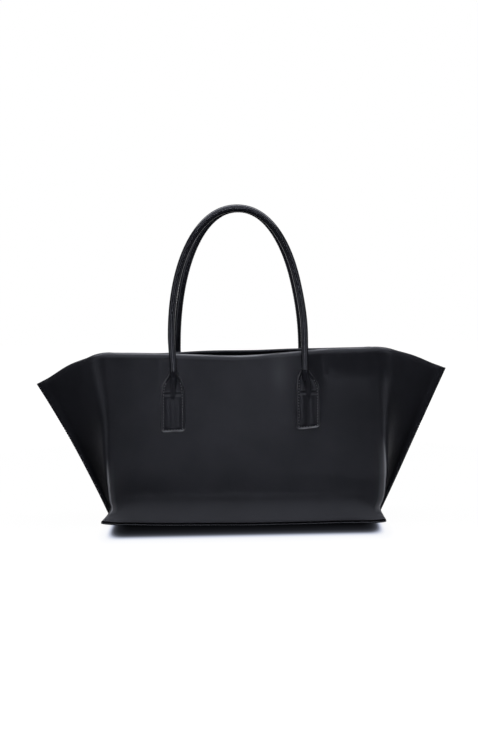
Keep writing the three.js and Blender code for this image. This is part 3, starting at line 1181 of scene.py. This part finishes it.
@dataclass
class Tab:
    """A leather tab that holds one end of a handle: a stitched plate with the handle's ridge on it."""

    wall: Wall
    end: End
    centre: float
    foot: float
    width: float
    finishes: Finishes
    neck: float
    skew: float = 0.0
    drop: float = 2.0
    top: float = 184.0
    shoulder_from: float = 198.2
    shoulder: Curve = (
        (-46.0, 1.0),
        (-37.0, 0.985),
        (-31.0, 0.94),
        (-26.0, 0.86),
        (-20.0, 0.67),
        (-15.0, 0.45),
        (-10.5, 0.325),
        (-5.0, 0.3),
        (10.0, 0.3),
    )
    corner: float = 4.6
    # The plate, its edge, thicker and tighter at the foot, its pillowed middle, and how it leans and slants.
    under: float = 0.25
    plate: float = 2.9
    edge: float = 1.3
    edge_round: float = 1.7
    foot_band: float = 7.0
    foot_edge: float = 0.9
    foot_round: float = 0.8
    rolled_edge: float = 0.55
    rolled_band: Pair = (1.1, 0.75)
    pillow: float = 0.5
    pillow_from: Pair = (3.6, 8.0)
    pillow_dip: float = 1.3
    dip_width: float = 2.6
    sway_heights: Pair = (162.0, 182.0)
    skew_reach: float = 34.0
    # The handle's ridge.
    ridge_low: float = 148.0
    ridge_foot: float = 157.0
    ridge_sunk: float = 0.4
    ridge_start: float = 1.6
    ridge_radius: float = 4.4
    ridge_narrow: float = 0.2
    ridge_crown: float = 8.9
    ridge_blend: float = 1.6
    # The fold across it, the seam and the patch behind.
    fold_line: float = 157.2
    fold_ridge: float = 0.35
    fold_ridge_at: Pair = (3.0, -2.6)
    fold_ridge_width: float = 0.8
    fold_sunk: float = 0.6
    fold_width: float = 1.2
    fold_from: Pair = (2.0, 5.0)
    seam_in: float = 3.1
    seam_sunk: float = 0.8
    seam_width: float = 0.8
    seam_below: float = 25.0
    pitch: float = 3.3
    stitch_lift: float = 0.05
    patch_behind: float = 2.1
    patch_leather: float = 1.0
    # Painted highlight on the rolled edge, in patches: more at the foot, which faces up, and at the shoulder,
    # less on its right side, and a painted highlight on the ridges by the fold.
    edge_wear_and_sheen: float = 0.12
    foot_sheen: float = 0.4
    shoulder_sheen: float = 0.14
    shoulder_low: Pair = (154.0, 168.0)
    shoulder_high: Pair = (178.0, 184.0)
    right_sheen_cut: float = 0.6
    fold_ridge_sheen: float = 0.2
    sheen_spacing: float = 9.0
    sheen_seed: float = 2.2

    def half_width(self, z: np.ndarray) -> np.ndarray:
        """Gives half the tab's width, rounded at the foot and narrowing to the handle.

        Args:
            z: heights.

        Returns:
            Half the width at each height.
        """
        half = self.width / 2
        rise = np.clip(z - self.foot, 0, self.corner)
        low = half - self.corner + np.sqrt(np.maximum(self.corner**2 - (self.corner - rise) ** 2, 0))
        return np.minimum(low, half * through(self.shoulder, z - self.shoulder_from + self.drop))

    def inset(self, x: np.ndarray, z: np.ndarray) -> np.ndarray:
        """Gives how far inside the tab's outline a place lies.

        Args:
            x: place across, from the tab's middle.
            z: height.

        Returns:
            The distance to the nearest edge.
        """
        half = self.width / 2
        side = self.half_width(z) - np.abs(x)
        slope = (self.half_width(z + 0.5) - self.half_width(z - 0.5)) * (z > self.foot + self.corner)
        side = side / np.sqrt(1 + slope**2)
        qx = np.abs(x) - (half - self.corner)
        qz = self.foot + self.corner - z
        round_corner = self.corner - np.hypot(np.maximum(qx, 0), np.maximum(qz, 0))
        near = np.where((qx > 0) & (qz > 0), round_corner, np.minimum(side, z - self.foot))
        return np.maximum(near, 0)

    def fold_ridges(self, z: np.ndarray) -> np.ndarray:
        """Gives the two low ridges above and below the fold across the tab."""
        off = z - self.fold_line
        return self.fold_ridge * sum(bell(off, at, self.fold_ridge_width) for at in self.fold_ridge_at)

    def raised(self, x: np.ndarray, z: np.ndarray) -> np.ndarray:
        """Gives the height of the tab's face above the wall.

        Args:
            x: place across, from the tab's middle.
            z: height.

        Returns:
            The thickness there, with the rounded edge, the sunk seam and the ridge.
        """
        d = self.inset(x, z)
        foot = 1 - smooth(0, self.foot_band, z - self.foot)
        turn = 1 - np.clip(d / (self.edge_round - self.foot_round * foot), 0, 1)
        edge = self.edge + self.foot_edge * foot
        plate = edge + (self.plate - edge) * np.sqrt(1 - turn**2)
        plate = plate + self.rolled_edge * bell(d, *self.rolled_band)
        plate = plate - self.seam_sunk * bell(d, self.seam_in, self.seam_width)
        dip = 1 - self.pillow_dip * bell(x, 0, self.dip_width)
        plate = plate + self.pillow * smooth(*self.pillow_from, d) * dip
        fold = self.fold_ridges(z) - self.fold_sunk * bell(z, self.fold_line, self.fold_width)
        plate = plate + fold * smooth(*self.fold_from, d)
        start = smooth(self.ridge_low, self.ridge_foot, z)
        climb = np.clip((z - self.ridge_foot) / (self.top - self.ridge_foot), 0, 1)
        swell = (self.ridge_crown - self.plate - self.ridge_start) * climb
        crown = self.plate - self.ridge_sunk + (self.ridge_start + self.ridge_sunk) * start + swell
        narrow = self.ridge_narrow * (1 - smooth(self.ridge_low, self.top, z))
        radius = self.ridge_radius * (1 - narrow)
        ridge = crown - radius + np.sqrt(np.maximum(radius**2 - x**2, 0))
        ridge = np.where(np.abs(x) < radius, ridge, -np.inf)
        gap = np.maximum(self.ridge_blend - np.abs(plate - ridge), 0)
        return np.maximum(plate, ridge) + gap**2 / (4 * self.ridge_blend)

    def sway(self, z: np.ndarray) -> np.ndarray:
        """Gives how far the tab leans aside at each height, to meet the handle at its top."""
        return (self.neck - self.centre) * smooth(*self.sway_heights, z)

    def cut_slope(self, x: np.ndarray, z: np.ndarray) -> np.ndarray:
        """Gives how far the slightly slanting foot of the tab lifts each place."""
        return self.skew * x * (1 - smooth(0, self.skew_reach, z - self.foot))

    def sheen_and_wear(self, x: np.ndarray, z: np.ndarray, outer: np.ndarray) -> np.ndarray:
        """Gives the painted highlight on the tab's face: on its rolled edge, most at the foot, and on the
        ridges by the fold.

        Args:
            x: place across, from the tab's middle.
            z: height.
            outer: the points of the face.

        Returns:
            The polish at each place.
        """
        d = self.inset(x, z)
        foot = 1 - smooth(1.5, 5, z - self.foot)
        rolled = bell(d, 1.0 + 0.3 * foot, 0.8 + 0.4 * foot)
        shoulder = smooth(*self.shoulder_low, z) * (1 - smooth(*self.shoulder_high, z))
        # Less of the painted highlight on the tab's right side, above the foot.
        dim = 1 - self.right_sheen_cut * smooth(0, 8, x) * (1 - foot)
        patchy = 0.75 + 0.5 * ripple(outer, self.sheen_spacing, self.sheen_seed)
        amount = self.edge_wear_and_sheen + self.foot_sheen * foot + self.shoulder_sheen * shoulder
        fold = self.fold_ridge_sheen * self.fold_ridges(z) * smooth(2.5, 5, d) * smooth(2, 5, np.abs(x))
        return rolled * amount * dim * patchy + fold

    def build(self) -> bpy.types.Object:
        """Makes the tab."""
        # Rows and columns lie closer towards the foot and the sides, where the edge is rounded.
        low = self.foot + 8 * np.linspace(0, 1, 30) ** 1.6
        rows = np.concatenate([low, np.linspace(low[-1], self.top, 66)[1:]])
        t = np.linspace(-1, 1, 61)
        columns = np.sign(t) * (1 - (1 - np.abs(t)) ** 1.5)
        x = self.half_width(rows)[:, None] * columns[None, :]
        z = np.broadcast_to(rows[:, None], x.shape)
        point, normal = self.wall.on_face(x + self.centre + self.sway(z), z + self.cut_slope(x, z))
        outer = point + normal * self.raised(x, z)[..., None]
        inner = point + normal * self.under
        name = f"{self.wall.side.value}_{self.end.value}"
        piece = shell(f"{name}_handle_tab", self.wall.turned(outer), self.wall.turned(inner))
        set_sheen_and_wear(piece, self.sheen_and_wear(x, z, outer))
        piece.data.materials.append(self.finishes.tab_calf)
        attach(piece, "bag")
        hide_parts(f"{name}_tab")
        return piece

    def seam(self) -> tuple[np.ndarray, np.ndarray]:
        """Gives the places and directions of the stitches, as x from the tab's middle and height."""
        z = np.linspace(self.shoulder_from - self.drop - self.seam_below, self.foot + self.corner, 80)
        side = np.stack([self.half_width(z) - self.seam_in, z], -1)
        turn = np.linspace(0, math.pi / 2, 12)
        radius = max(self.corner - self.seam_in, 0.5)
        centre = np.array([self.width / 2 - self.corner, self.foot + self.corner])
        bend = centre + radius * np.stack([np.cos(turn), -np.sin(turn)], -1)
        right = np.concatenate([side, bend])
        left = (right * np.array([-1, 1]))[::-1]
        line = np.concatenate([right, left])
        run = run_along(line)
        stops = np.linspace(0, run[-1], int(run[-1] / self.pitch) + 1)
        places = read_along(stops, run, line)
        return places, np.gradient(places, axis=0)

    def build_stitches(self, stitching: Stitching) -> bpy.types.Object:
        """Sews the tab to the wall.

        Args:
            stitching: the thread and its stitch.

        Returns:
            The stitches.
        """
        places, along = self.seam()
        x, z = places[:, 0], places[:, 1]
        level = z + self.cut_slope(x, z)
        across = x + self.centre + self.sway(z)
        point, normal = self.wall.on_face(across, level)
        ahead, _ = self.wall.on_face(across + along[:, 0] * 0.2, level + along[:, 1] * 0.2)
        lift = self.raised(x, z)[:, None] + self.stitch_lift
        piece = stitching.sew(
            f"{self.wall.side.value}_{self.end.value}_tab_stitches",
            self.wall.turned(point + normal * lift),
            self.wall.turned(ahead - point),
            self.wall.turned(normal),
        )
        piece.data.materials.append(self.finishes.thread)
        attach(piece, "bag")
        return piece

    def build_patch(self) -> bpy.types.Object:
        """Makes the leather patch behind the wall that the tab is sewn through to."""
        name = f"{self.wall.side.value}_{self.end.value}"
        low, high = (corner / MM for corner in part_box(f"{name}_patch"))
        rows = np.linspace(low.z, high.z, 20)
        across = np.linspace(-1, 1, 14) * (high.x - low.x) / 2 + self.centre
        x, z = np.meshgrid(across, rows)
        point, normal = self.wall.on_face(x, z)
        outer = point - normal * self.patch_behind
        inner = point - normal * (self.patch_behind + self.patch_leather)
        piece = shell(f"{name}_tab_backing", self.wall.turned(outer), self.wall.turned(inner))
        bevel_edges(piece, width=0.2)
        piece.data.materials.append(self.finishes.calf)
        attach(piece, "bag")
        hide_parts(f"{name}_patch")
        return piece


@dataclass
class Handle:
    """One rolled leather handle: an arch on two upright legs that start in the tabs."""

    wall: Wall
    feet: Pair
    middle: float
    half: float
    spring: float
    rise: float
    apex_shift: float
    finishes: Finishes
    splay: Pair = (0.0, 0.0)
    splay_heights: Pair = (223.0, 293.0)
    radius: float = 4.35
    start: float = 172.0
    neck: float = 198.2
    leg_low: float = 189.2
    taper: Pair = (171.0, 186.0)
    end_share: float = 0.5
    standoff: float = 5.0
    lean: float = 0.0588
    squareness: float = 2.13
    bend_from: float = 174.0
    bend_length: float = 16.0
    sides: int = 24
    seam_sunk: float = 0.07
    seam_angle: float = 0.28
    stitch_pitch: float = 3.6
    stitch_from: float = 11.0
    stitch_depth: float = 0.86

    def path(self) -> np.ndarray:
        """Gives the middle line of the handle from its left foot to its right one, evenly spaced."""
        z = np.linspace(self.start, self.spring, 50)
        t = smooth(self.leg_low, self.spring, z)
        foot_left, foot_right = self.feet[0] + self.splay[0], self.feet[1] - self.splay[1]
        left = np.stack([foot_left * (1 - t) + (self.middle - self.half) * t, z], -1)
        right = np.stack([foot_right * (1 - t) + (self.middle + self.half) * t, z], -1)
        turn = np.linspace(0, math.pi, 241)[1:-1]
        power = 2 / self.squareness
        arch_x = self.middle - self.half * np.sign(np.cos(turn)) * np.abs(np.cos(turn)) ** power
        arch_x = arch_x + self.apex_shift * np.sin(turn) ** 2
        arch = np.stack([arch_x, self.spring + self.rise * np.sin(turn) ** power], -1)
        line = np.concatenate([left, arch, right[::-1]])
        run = run_along(line)
        even = read_along(np.linspace(0, run[-1], 260), run, line)
        for _ in range(3):
            even[1:-1] = even[1:-1] * 0.5 + (even[:-2] + even[2:]) * 0.25
        x, z = even.T
        aside = np.where(x < self.middle, -self.splay[0], self.splay[1])
        x = x + aside * (1 - smooth(*self.splay_heights, z))
        base, _ = self.wall.on_face(np.array(self.feet), np.full(2, self.neck))
        y = base[:, 1].mean() - self.standoff + (z - self.neck) * self.lean
        return np.stack([x, y, z], -1)

    def frames(self) -> tuple[np.ndarray, np.ndarray, np.ndarray]:
        """Gives the middle line, the direction to the outside of the arch and the direction to the front."""
        line = self.path()
        ahead = unit(np.gradient(line, axis=0))
        front = unit(np.array([0.0, -1.0, -self.lean]))[None, :]
        outside = unit(np.cross(front, ahead))
        return line, outside, np.broadcast_to(front, line.shape)

    def build(self) -> bpy.types.Object:
        """Makes the rolled tube, its seam sunk along the inside of the arch."""
        line, outside, front = self.frames()
        turn = np.linspace(0, 2 * math.pi, self.sides, endpoint=False)
        radius = self.radius * (1 - self.seam_sunk * bell(turn, math.pi, self.seam_angle))
        ring = np.cos(turn)[None, :, None] * outside[:, None] + np.sin(turn)[None, :, None] * front[:, None]
        slim = self.end_share + (1 - self.end_share) * smooth(*self.taper, line[:, 2])
        points = line[:, None] + ring * radius[None, :, None] * slim[:, None, None]
        count = len(line)
        index = np.arange(count * self.sides).reshape(count, self.sides)
        faces = [tuple(index[0]), tuple(index[-1][::-1])]
        for low, high in zip(index[:-1], index[1:]):
            faces += zip(low, high, np.roll(high, -1), np.roll(low, -1))
        points = self.wall.turned(points.reshape(-1, 3))
        piece = mesh_object(f"{self.wall.side.value}_handle", points, faces, angle=50)
        piece.data.materials.append(self.finishes.handle_calf)
        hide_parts(f"{self.wall.side.value}_handle_cover", f"{self.wall.side.value}_handle_core")
        self.hang(piece)
        return piece

    def hang(self, piece: bpy.types.Object) -> None:
        """Works out where a piece would bend from the tabs, which ride the bag, into the arch, leaves that
        unused, and bakes the piece's placement into its mesh.

        Args:
            piece: the rolled tube or its stitches.
        """
        line = self.path()
        low = np.array([0.0, line[0, 1], self.bend_from])
        high = low + self.bend_length * unit(np.array([0.0, self.lean, 1.0]))
        start, end = (tuple(self.wall.turned(p) * MM) for p in (low, high))
        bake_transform(piece)

    def build_stitches(self, stitching: Stitching) -> bpy.types.Object:
        """Sews the handle's seam along the inside of the arch.

        Args:
            stitching: the thread and its stitch.

        Returns:
            The stitches.
        """
        line, outside, _ = self.frames()
        run = run_along(line)
        stops = np.arange(self.stitch_from, run[-1] - self.stitch_from, self.stitch_pitch)
        spot, out = read_along(stops, run, line), read_along(stops, run, -outside)
        piece = stitching.sew(
            f"{self.wall.side.value}_handle_stitches",
            self.wall.turned(spot + unit(out) * self.radius * self.stitch_depth),
            self.wall.turned(np.gradient(spot, axis=0)),
            self.wall.turned(out),
        )
        piece.data.materials.append(self.finishes.seam_thread)
        self.hang(piece)
        return piece


@dataclass(frozen=True)
class WhiteFloor:
    """A white studio floor: white to the camera, with the dark contact shadow close to the bag.

    The contact shadow is painted into the floor's colour: a rounded oblong, its depth squeezed so that its
    edge looks equally soft all round, with a pale bluish fringe. The floor's own colour, which mostly lights
    the bag, is also painted darker close to the bag as shade. Sizes are in metres.
    """

    name: str = "White studio floor"
    # The floor's own colour, painted darker near the bag as shade and paler further off.
    shaded_tone_near: str = "2a2a2b"
    tone_far: str = "6a6a6e"
    tone_centre: float = 0.35
    tone_reach: Pair = (0.5, 0.85)
    mirrored_from: Pair = (0.6, 1.2)
    glow_near: float = 0.978
    glow_far: float = 1.0
    shade: str = "040405"
    fringe: str = "e2e9ff"
    fringe_power: float = 4.0
    shade_middle: float = 0.0024
    shade_half: float = 0.1588
    shade_front: float = 0.1325
    shade_back: float = 0.06
    shade_slant: float = 0.05
    shade_squeeze: float = 5.6
    side_squeeze: float = 1.4
    shade_corner: float = 0.016
    corner_round: float = 0.016
    shade_reach: float = 0.0268
    fall_off: Curve = (
        (0.19, 0.0028),
        (0.276, 0.0046),
        (0.32, 0.0066),
        (0.364, 0.0105),
        (0.408, 0.0138),
        (0.452, 0.022),
        (0.496, 0.041),
        (0.54, 0.08),
        (0.584, 0.235),
        (0.628, 0.59),
        (0.672, 0.84),
        (0.716, 0.94),
        (0.76, 0.97),
        (0.861, 0.985),
        (1.0, 1.0),
    )

    def beyond(
        self, tree: bpy.types.NodeTree, place: bpy.types.NodeSocket, shift: float, half: float, squeeze: float
    ) -> bpy.types.NodeSocket:
        """Adds the nodes that say how far a place lies past the shadow's edge in one direction.

        Args:
            tree: the material's tree.
            place: the place in that direction.
            shift: what is added to it, so that the shadow's middle is 0.
            half: half the shadow's size.
            squeeze: what the distance is divided by.

        Returns:
            The squeezed distance, 0 well inside the edge.
        """
        shifted = add_node(tree, "Math", {"operation": "ADD", 0: place, 1: shift}).outputs["Value"]
        away = add_node(tree, "Math", {"operation": "ABSOLUTE", 0: shifted}).outputs["Value"]
        squeezed = {"operation": "MULTIPLY_ADD", 0: away, 1: 1 / squeeze}
        past = add_node(tree, "Math", squeezed | {2: self.shade_corner - half / squeeze}).outputs["Value"]
        return add_node(tree, "Math", {"operation": "MAXIMUM", 0: past, 1: 0.0}).outputs["Value"]

    def open_share(self, tree: bpy.types.NodeTree, parts: bpy.types.Node) -> bpy.types.NodeSocket:
        """Adds the nodes that say how far each place lies outside the contact shadow.

        Args:
            tree: the material's tree.
            parts: the node that gives the place as x, y and z.

        Returns:
            A value of 0 deep in the shadow and 1 on the open floor.
        """
        x, y = parts.outputs["X"], parts.outputs["Y"]
        beside = self.beyond(tree, x, -self.shade_middle, self.shade_half, self.side_squeeze)
        slanted = add_node(tree, "Math", {"operation": "MULTIPLY_ADD", 0: x, 1: -self.shade_slant, 2: y})
        centre = (self.shade_front - self.shade_back) / 2
        half_depth = (self.shade_front + self.shade_back) / 2
        before = self.beyond(tree, slanted.outputs["Value"], centre, half_depth, self.shade_squeeze)
        larger = {"operation": "SMOOTH_MAX", 0: beside, 1: before, 2: self.corner_round}
        reach = add_node(tree, "Math", larger).outputs["Value"]
        share = add_node(tree, "MapRange", {"From Max": self.shade_reach, "Value": reach})
        return set_stops(add_node(tree, "ValToRGB", {"Fac": share.outputs["Result"]}), greys(self.fall_off))

    def material(self) -> bpy.types.Material:
        """Builds the floor's node material and returns it."""
        material, tree, _ = start_material(self.name)
        tree.nodes.clear()
        place = add_node(tree, "TexCoord").outputs["Object"]
        parts = add_node(tree, "SeparateXYZ", {"Vector": place})
        open_floor = self.open_share(tree, parts)
        centre = (0.0, self.tone_centre, 0.0)
        offset = add_node(tree, "VectorMath", {"operation": "SUBTRACT", 0: place, 1: centre})
        radius = add_node(tree, "VectorMath", {"operation": "LENGTH", 0: offset.outputs["Vector"]})
        low, high = self.tone_reach
        span = {"From Min": low, "From Max": high, "Value": radius.outputs["Value"]}
        far = add_node(tree, "MapRange", span).outputs["Result"]
        # The floor's own colour, painted darker near the bag as shade.
        ends = {6: linear(self.shaded_tone_near), 7: linear(self.tone_far)}
        tone = add_node(tree, "Mix", {"data_type": "RGBA", 0: far} | ends).outputs[2]
        dark = add_node(tree, "Mix", {"data_type": "RGBA", 0: open_floor, 6: linear(self.shade), 7: tone})
        matt = add_node(tree, "BsdfDiffuse", {"Color": dark.outputs[2]}).outputs["BSDF"]
        low, high = self.mirrored_from
        behind = add_node(tree, "MapRange", {"From Min": low, "From Max": high, "Value": parts.outputs["Y"]})
        seen = seen_as_white(tree, behind.outputs["Result"])
        level = add_node(tree, "MapRange", {"To Min": self.glow_near, "To Max": self.glow_far, "Value": far})
        strength = add_node(tree, "Math", {"operation": "MULTIPLY", 0: seen, 1: level.outputs["Result"]})
        # A pale bluish fringe painted round the edge of the painted shadow.
        clear = add_node(tree, "Math", {"operation": "POWER", 0: open_floor, 1: self.fringe_power})
        fringe = {"data_type": "RGBA", 0: clear.outputs["Value"], 6: linear(self.fringe), 7: WHITE}
        cool = add_node(tree, "Mix", fringe).outputs[2]
        tint = add_node(tree, "VectorMath", {"operation": "MULTIPLY", 0: open_floor, 1: cool})
        white = {"Color": tint.outputs["Vector"], "Strength": strength.outputs["Value"]}
        glow = add_node(tree, "Emission", white).outputs["Emission"]
        both = add_node(tree, "AddShader", {0: matt, 1: glow})
        add_node(tree, "OutputMaterial", {"Surface": both.outputs["Shader"]})
        return material


@dataclass
class Studio:
    """The white studio: floor, soft lamps, a dim room and the camera where the photograph was taken."""

    floor_half: float = 4.0
    floor_level: float = -0.0004
    eye: tuple[float, float, float] = (-0.0037, -1.856, 0.3132)
    pitch: float = math.radians(3.98)
    roll: float = math.radians(0.6)
    focal_pixels: float = 1506.0
    sensor: float = 36.0
    mirrored_from: Pair = (0.97, 0.995)
    room_levels: Curve = (
        (-1.0, 0.08),
        (-0.75, 0.085),
        (-0.3, 0.12),
        (0.05, 0.12),
        (0.17, 0.03),
        (0.5, 0.03),
        (0.72, 0.1),
        (1.0, 0.1),
    )

    def build_floor(self) -> bpy.types.Object:
        """Lays the floor."""
        bpy.ops.object.select_all(action="DESELECT")
        bpy.ops.mesh.primitive_plane_add(size=2 * self.floor_half, location=(0, 0, self.floor_level))
        floor = bpy.context.object
        floor.name = "studio_floor"
        bpy.ops.object.transform_apply(location=True, rotation=True, scale=True)
        floor.data.materials.append(WhiteFloor().material())
        return floor

    def hang_lamp(
        self,
        name: str,
        place: tuple[float, float, float],
        aim: tuple[float, float, float],
        size: Pair,
        level: float,
        spread: float = 180.0,
    ) -> bpy.types.Object:
        """Hangs a soft box.

        Args:
            name: the lamp's name.
            place: where it hangs, in metres.
            aim: the point it faces.
            size: its width and height.
            level: brightness of its face, seen straight on.
            spread: angle of the grid in front of it, in degrees, or 180 for none.

        Returns:
            The lamp.
        """
        light = bpy.data.lights.new(name, "AREA")
        light.shape = "RECTANGLE"
        light.size, light.size_y = size
        half = math.radians(spread / 2)
        light.spread = 2 * half
        light.energy = level * math.pi * size[0] * size[1] * (1 - half / math.tan(half))
        lamp = bpy.data.objects.new(name, light)
        bpy.context.collection.objects.link(lamp)
        lamp.location = place
        lamp.rotation_euler = (Vector(aim) - Vector(place)).to_track_quat("-Z", "Y").to_euler()
        return lamp

    def light(self) -> None:
        """Sets the lamps and the room."""
        self.hang_lamp(
            "Overhead soft box", place=(0.0, 0.1, 1.7), aim=(0.0, 0.0, 0.2), size=(3.2, 0.6), level=6.0
        )
        self.hang_lamp(
            "Upper front soft box", place=(0.0, -1.25, 1.35), aim=(0.0, 0.0, 0.05), size=(1.9, 1.0),
            level=1.25,
        )
        self.hang_lamp(
            "Front soft box", place=(0.05, -2.6, 0.24), aim=(0.0, -0.06, 0.17), size=(0.45, 0.35),
            level=23.0, spread=10.5,
        )
        for name, x in (("Left strip", -1.5), ("Right strip", 1.5)):
            self.hang_lamp(name, place=(x, -1.05, 0.55), aim=(0.0, 0.0, 0.2), size=(0.3, 1.3), level=2.4)
        world = bpy.data.worlds.new("Studio room")
        bpy.context.scene.world = world
        world.use_nodes = True
        tree = world.node_tree
        tree.nodes.clear()
        parts = add_node(tree, "SeparateXYZ", {"Vector": add_node(tree, "TexCoord").outputs["Generated"]})
        low, high = self.mirrored_from
        behind = add_node(tree, "MapRange", {"From Min": low, "From Max": high, "Value": parts.outputs["Y"]})
        seen = seen_as_white(tree, behind.outputs["Result"])
        across = add_node(tree, "MapRange", {"From Min": -1.0, "Value": parts.outputs["X"]})
        ramp = add_node(tree, "ValToRGB", {"Fac": across.outputs["Result"]})
        dim = set_stops(ramp, greys(tuple(((at + 1) / 2, level) for at, level in self.room_levels)))
        level = add_node(tree, "Mix", {"data_type": "RGBA", 0: seen, 6: dim, 7: WHITE})
        room = add_node(tree, "Background", {"Color": level.outputs[2]})
        add_node(tree, "OutputWorld", {"Surface": room.outputs["Background"]})

    def place_camera(self) -> bpy.types.Object:
        """Sets the camera at the photograph's viewpoint."""
        data = bpy.data.cameras.new("Photograph viewpoint")
        data.sensor_fit = "VERTICAL"
        data.sensor_height = self.sensor
        data.lens = self.focal_pixels * self.sensor / IMAGE_HEIGHT
        camera = bpy.data.objects.new("Photograph viewpoint", data)
        bpy.context.collection.objects.link(camera)
        tilt = Matrix.Rotation(math.pi / 2 - self.pitch, 4, "X") @ Matrix.Rotation(-self.roll, 4, "Z")
        camera.matrix_world = Matrix.Translation(self.eye) @ tilt
        bpy.context.scene.camera = camera
        return camera


@dataclass
class ToteBag:
    """The whole bag, put together from its walls, floor, tabs and handles."""

    finishes: Finishes = field(default_factory=Finishes)

    def front_wall(self) -> Wall:
        """Gives the front wall as the photograph shows it, its right side standing a little higher."""
        return Wall(
            Side.FRONT,
            rim=(
                (-1.0, 207.1), (-0.55, 205.4), (-0.32, 203.8), (0.01, 202.1),
                (0.29, 205.0), (0.57, 208.9), (1.0, 210.5),
            ),
            tips=(166.8, 181.4),
            fold_left=(
                (2.0, 171.6), (7.0, 167.2), (12.0, 162.6), (17.0, 159.8), (29.0, 161.7), (53.0, 164.4),
                (84.0, 166.3), (126.0, 167.0), (150.0, 169.4), (173.0, 172.0), (206.0, 174.0),
            ),
            fold_right=(
                (2.0, 171.4), (8.0, 168.0), (13.0, 165.6), (18.0, 165.2),
                (26.0, 168.6), (53.0, 173.0), (110.0, 173.0), (210.0, 173.4),
            ),
            seam_bow=(3.4, -0.5),
            finishes=self.finishes,
            turn_back=(2.4, 11.0),
            lift_left=(
                (0.0, 0.0), (0.27, 0.45), (0.62, 0.8), (0.8, 1.55), (0.89, 1.75), (0.95, 2.5), (1.0, 3.3),
            ),
            lift_right=(
                (0.0, 0.0), (0.29, 0.5), (0.49, 0.9), (0.65, 1.4),
                (0.78, 1.4), (0.9, 1.3), (0.96, 1.6), (1.0, 2.3),
            ),
            step_back=2.6,
            nod=5.4,
            # A painted highlight streak beside the right tab, high on the wall.
            sheen_spots=((45.0, 182.0, 10.0, 25.0, 0.045),),
            rim_lean=((-137.0, 11.0, 1.0), (-96.0, 9.0, 0.9)),
            # Painted highlight along the rim, by place across.
            rim_sheen=(
                (-160.0, 0.02), (-128.0, 0.2), (-104.0, 0.1), (-62.0, 0.4), (-26.0, 0.2), (4.0, 0.5),
                (44.0, 0.06), (58.0, 0.2), (78.0, 0.0), (94.0, 0.25), (114.0, 0.05), (131.0, 0.15),
                (160.0, 0.0),
            ),
        )

    def back_wall(self) -> Wall:
        """Gives the back wall, of which the photograph shows only the rim."""
        fold = (
            (2.0, 170.5), (7.0, 167.4), (12.0, 164.0), (17.0, 162.6), (28.0, 165.0),
            (53.0, 168.0), (110.0, 169.6), (195.0, 172.4), (210.0, 173.5),
        )
        return Wall(
            Side.BACK,
            rim=(
                (-1.0, 205.8), (-0.8, 205.2), (-0.52, 204.6), (-0.37, 204.4), (-0.13, 203.1),
                (0.28, 202.7), (0.6, 200.4), (0.85, 201.2), (1.0, 201.4),
            ),
            tips=(181.4, 166.8),
            fold_left=fold,
            fold_right=fold,
            seam_bow=(-0.5, 3.4),
            finishes=self.finishes,
            turn_back=(2.5, 2.5),
            seam_foot=(164.0, 161.7),
            seam_tip=(243.6, 246.2),
            wing_arch=(1.6, 3.0),
        )

    def build(self) -> list[bpy.types.Object]:
        """Builds every piece of the bag and returns them."""
        front, back = self.front_wall(), self.back_wall()
        floor = Floor(self.finishes, front, back)
        pieces = [floor.build_leather(), floor.build_lining()]
        floor.dress_board()
        stitching = Stitching()
        for wall in (front, back):
            pieces += [wall.build_panel(), wall.build_facing(), wall.build_lining()]
            pieces.append(wall.build_seam_stitches(stitching))
        front_feet, back_feet = (-82.4, 75.2), (-77.2, 80.0)
        tabs = (
            Tab(
                front, End.LEFT, centre=-83.4, foot=111.6, width=28.9,
                finishes=self.finishes, neck=front_feet[0], skew=0.03, drop=3.6,
            ),
            Tab(
                front, End.RIGHT, centre=78.6, foot=113.8, width=28.6,
                finishes=self.finishes, neck=front_feet[1], skew=0.08, drop=1.6,
            ),
            Tab(
                back, End.RIGHT, centre=-76.8, foot=112.6, width=28.5,
                finishes=self.finishes, neck=back_feet[0],
            ),
            Tab(
                back, End.LEFT, centre=80.6, foot=112.6, width=28.5,
                finishes=self.finishes, neck=back_feet[1],
            ),
        )
        for tab in tabs:
            pieces += [tab.build(), tab.build_patch(), tab.build_stitches(stitching)]
        handles = (
            Handle(
                front, front_feet, middle=-5.6, half=78.7, spring=223.8, rise=155.3, apex_shift=0.9,
                finishes=self.finishes, splay=(0.0, 2.0),
            ),
            Handle(
                back, back_feet, middle=3.3, half=78.2, spring=201.2, rise=179.8, apex_shift=0.0,
                finishes=self.finishes, splay=(0.9, 0.0),
            ),
        )
        for handle in handles:
            pieces += [handle.build(), handle.build_stitches(stitching)]
        return pieces


def main() -> None:
    """Builds the studio and the bag, and reports each piece."""
    logging.basicConfig(level=logging.INFO, format="%(name)s: %(message)s")
    bpy.context.scene.view_settings.view_transform = "Standard"
    studio = Studio()
    studio.place_camera()
    studio.build_floor()
    studio.light()
    for piece in ToteBag().build():
        LOG.info("%s: %d faces", piece.name, len(piece.data.polygons))


if __name__ == "__main__":
    main()
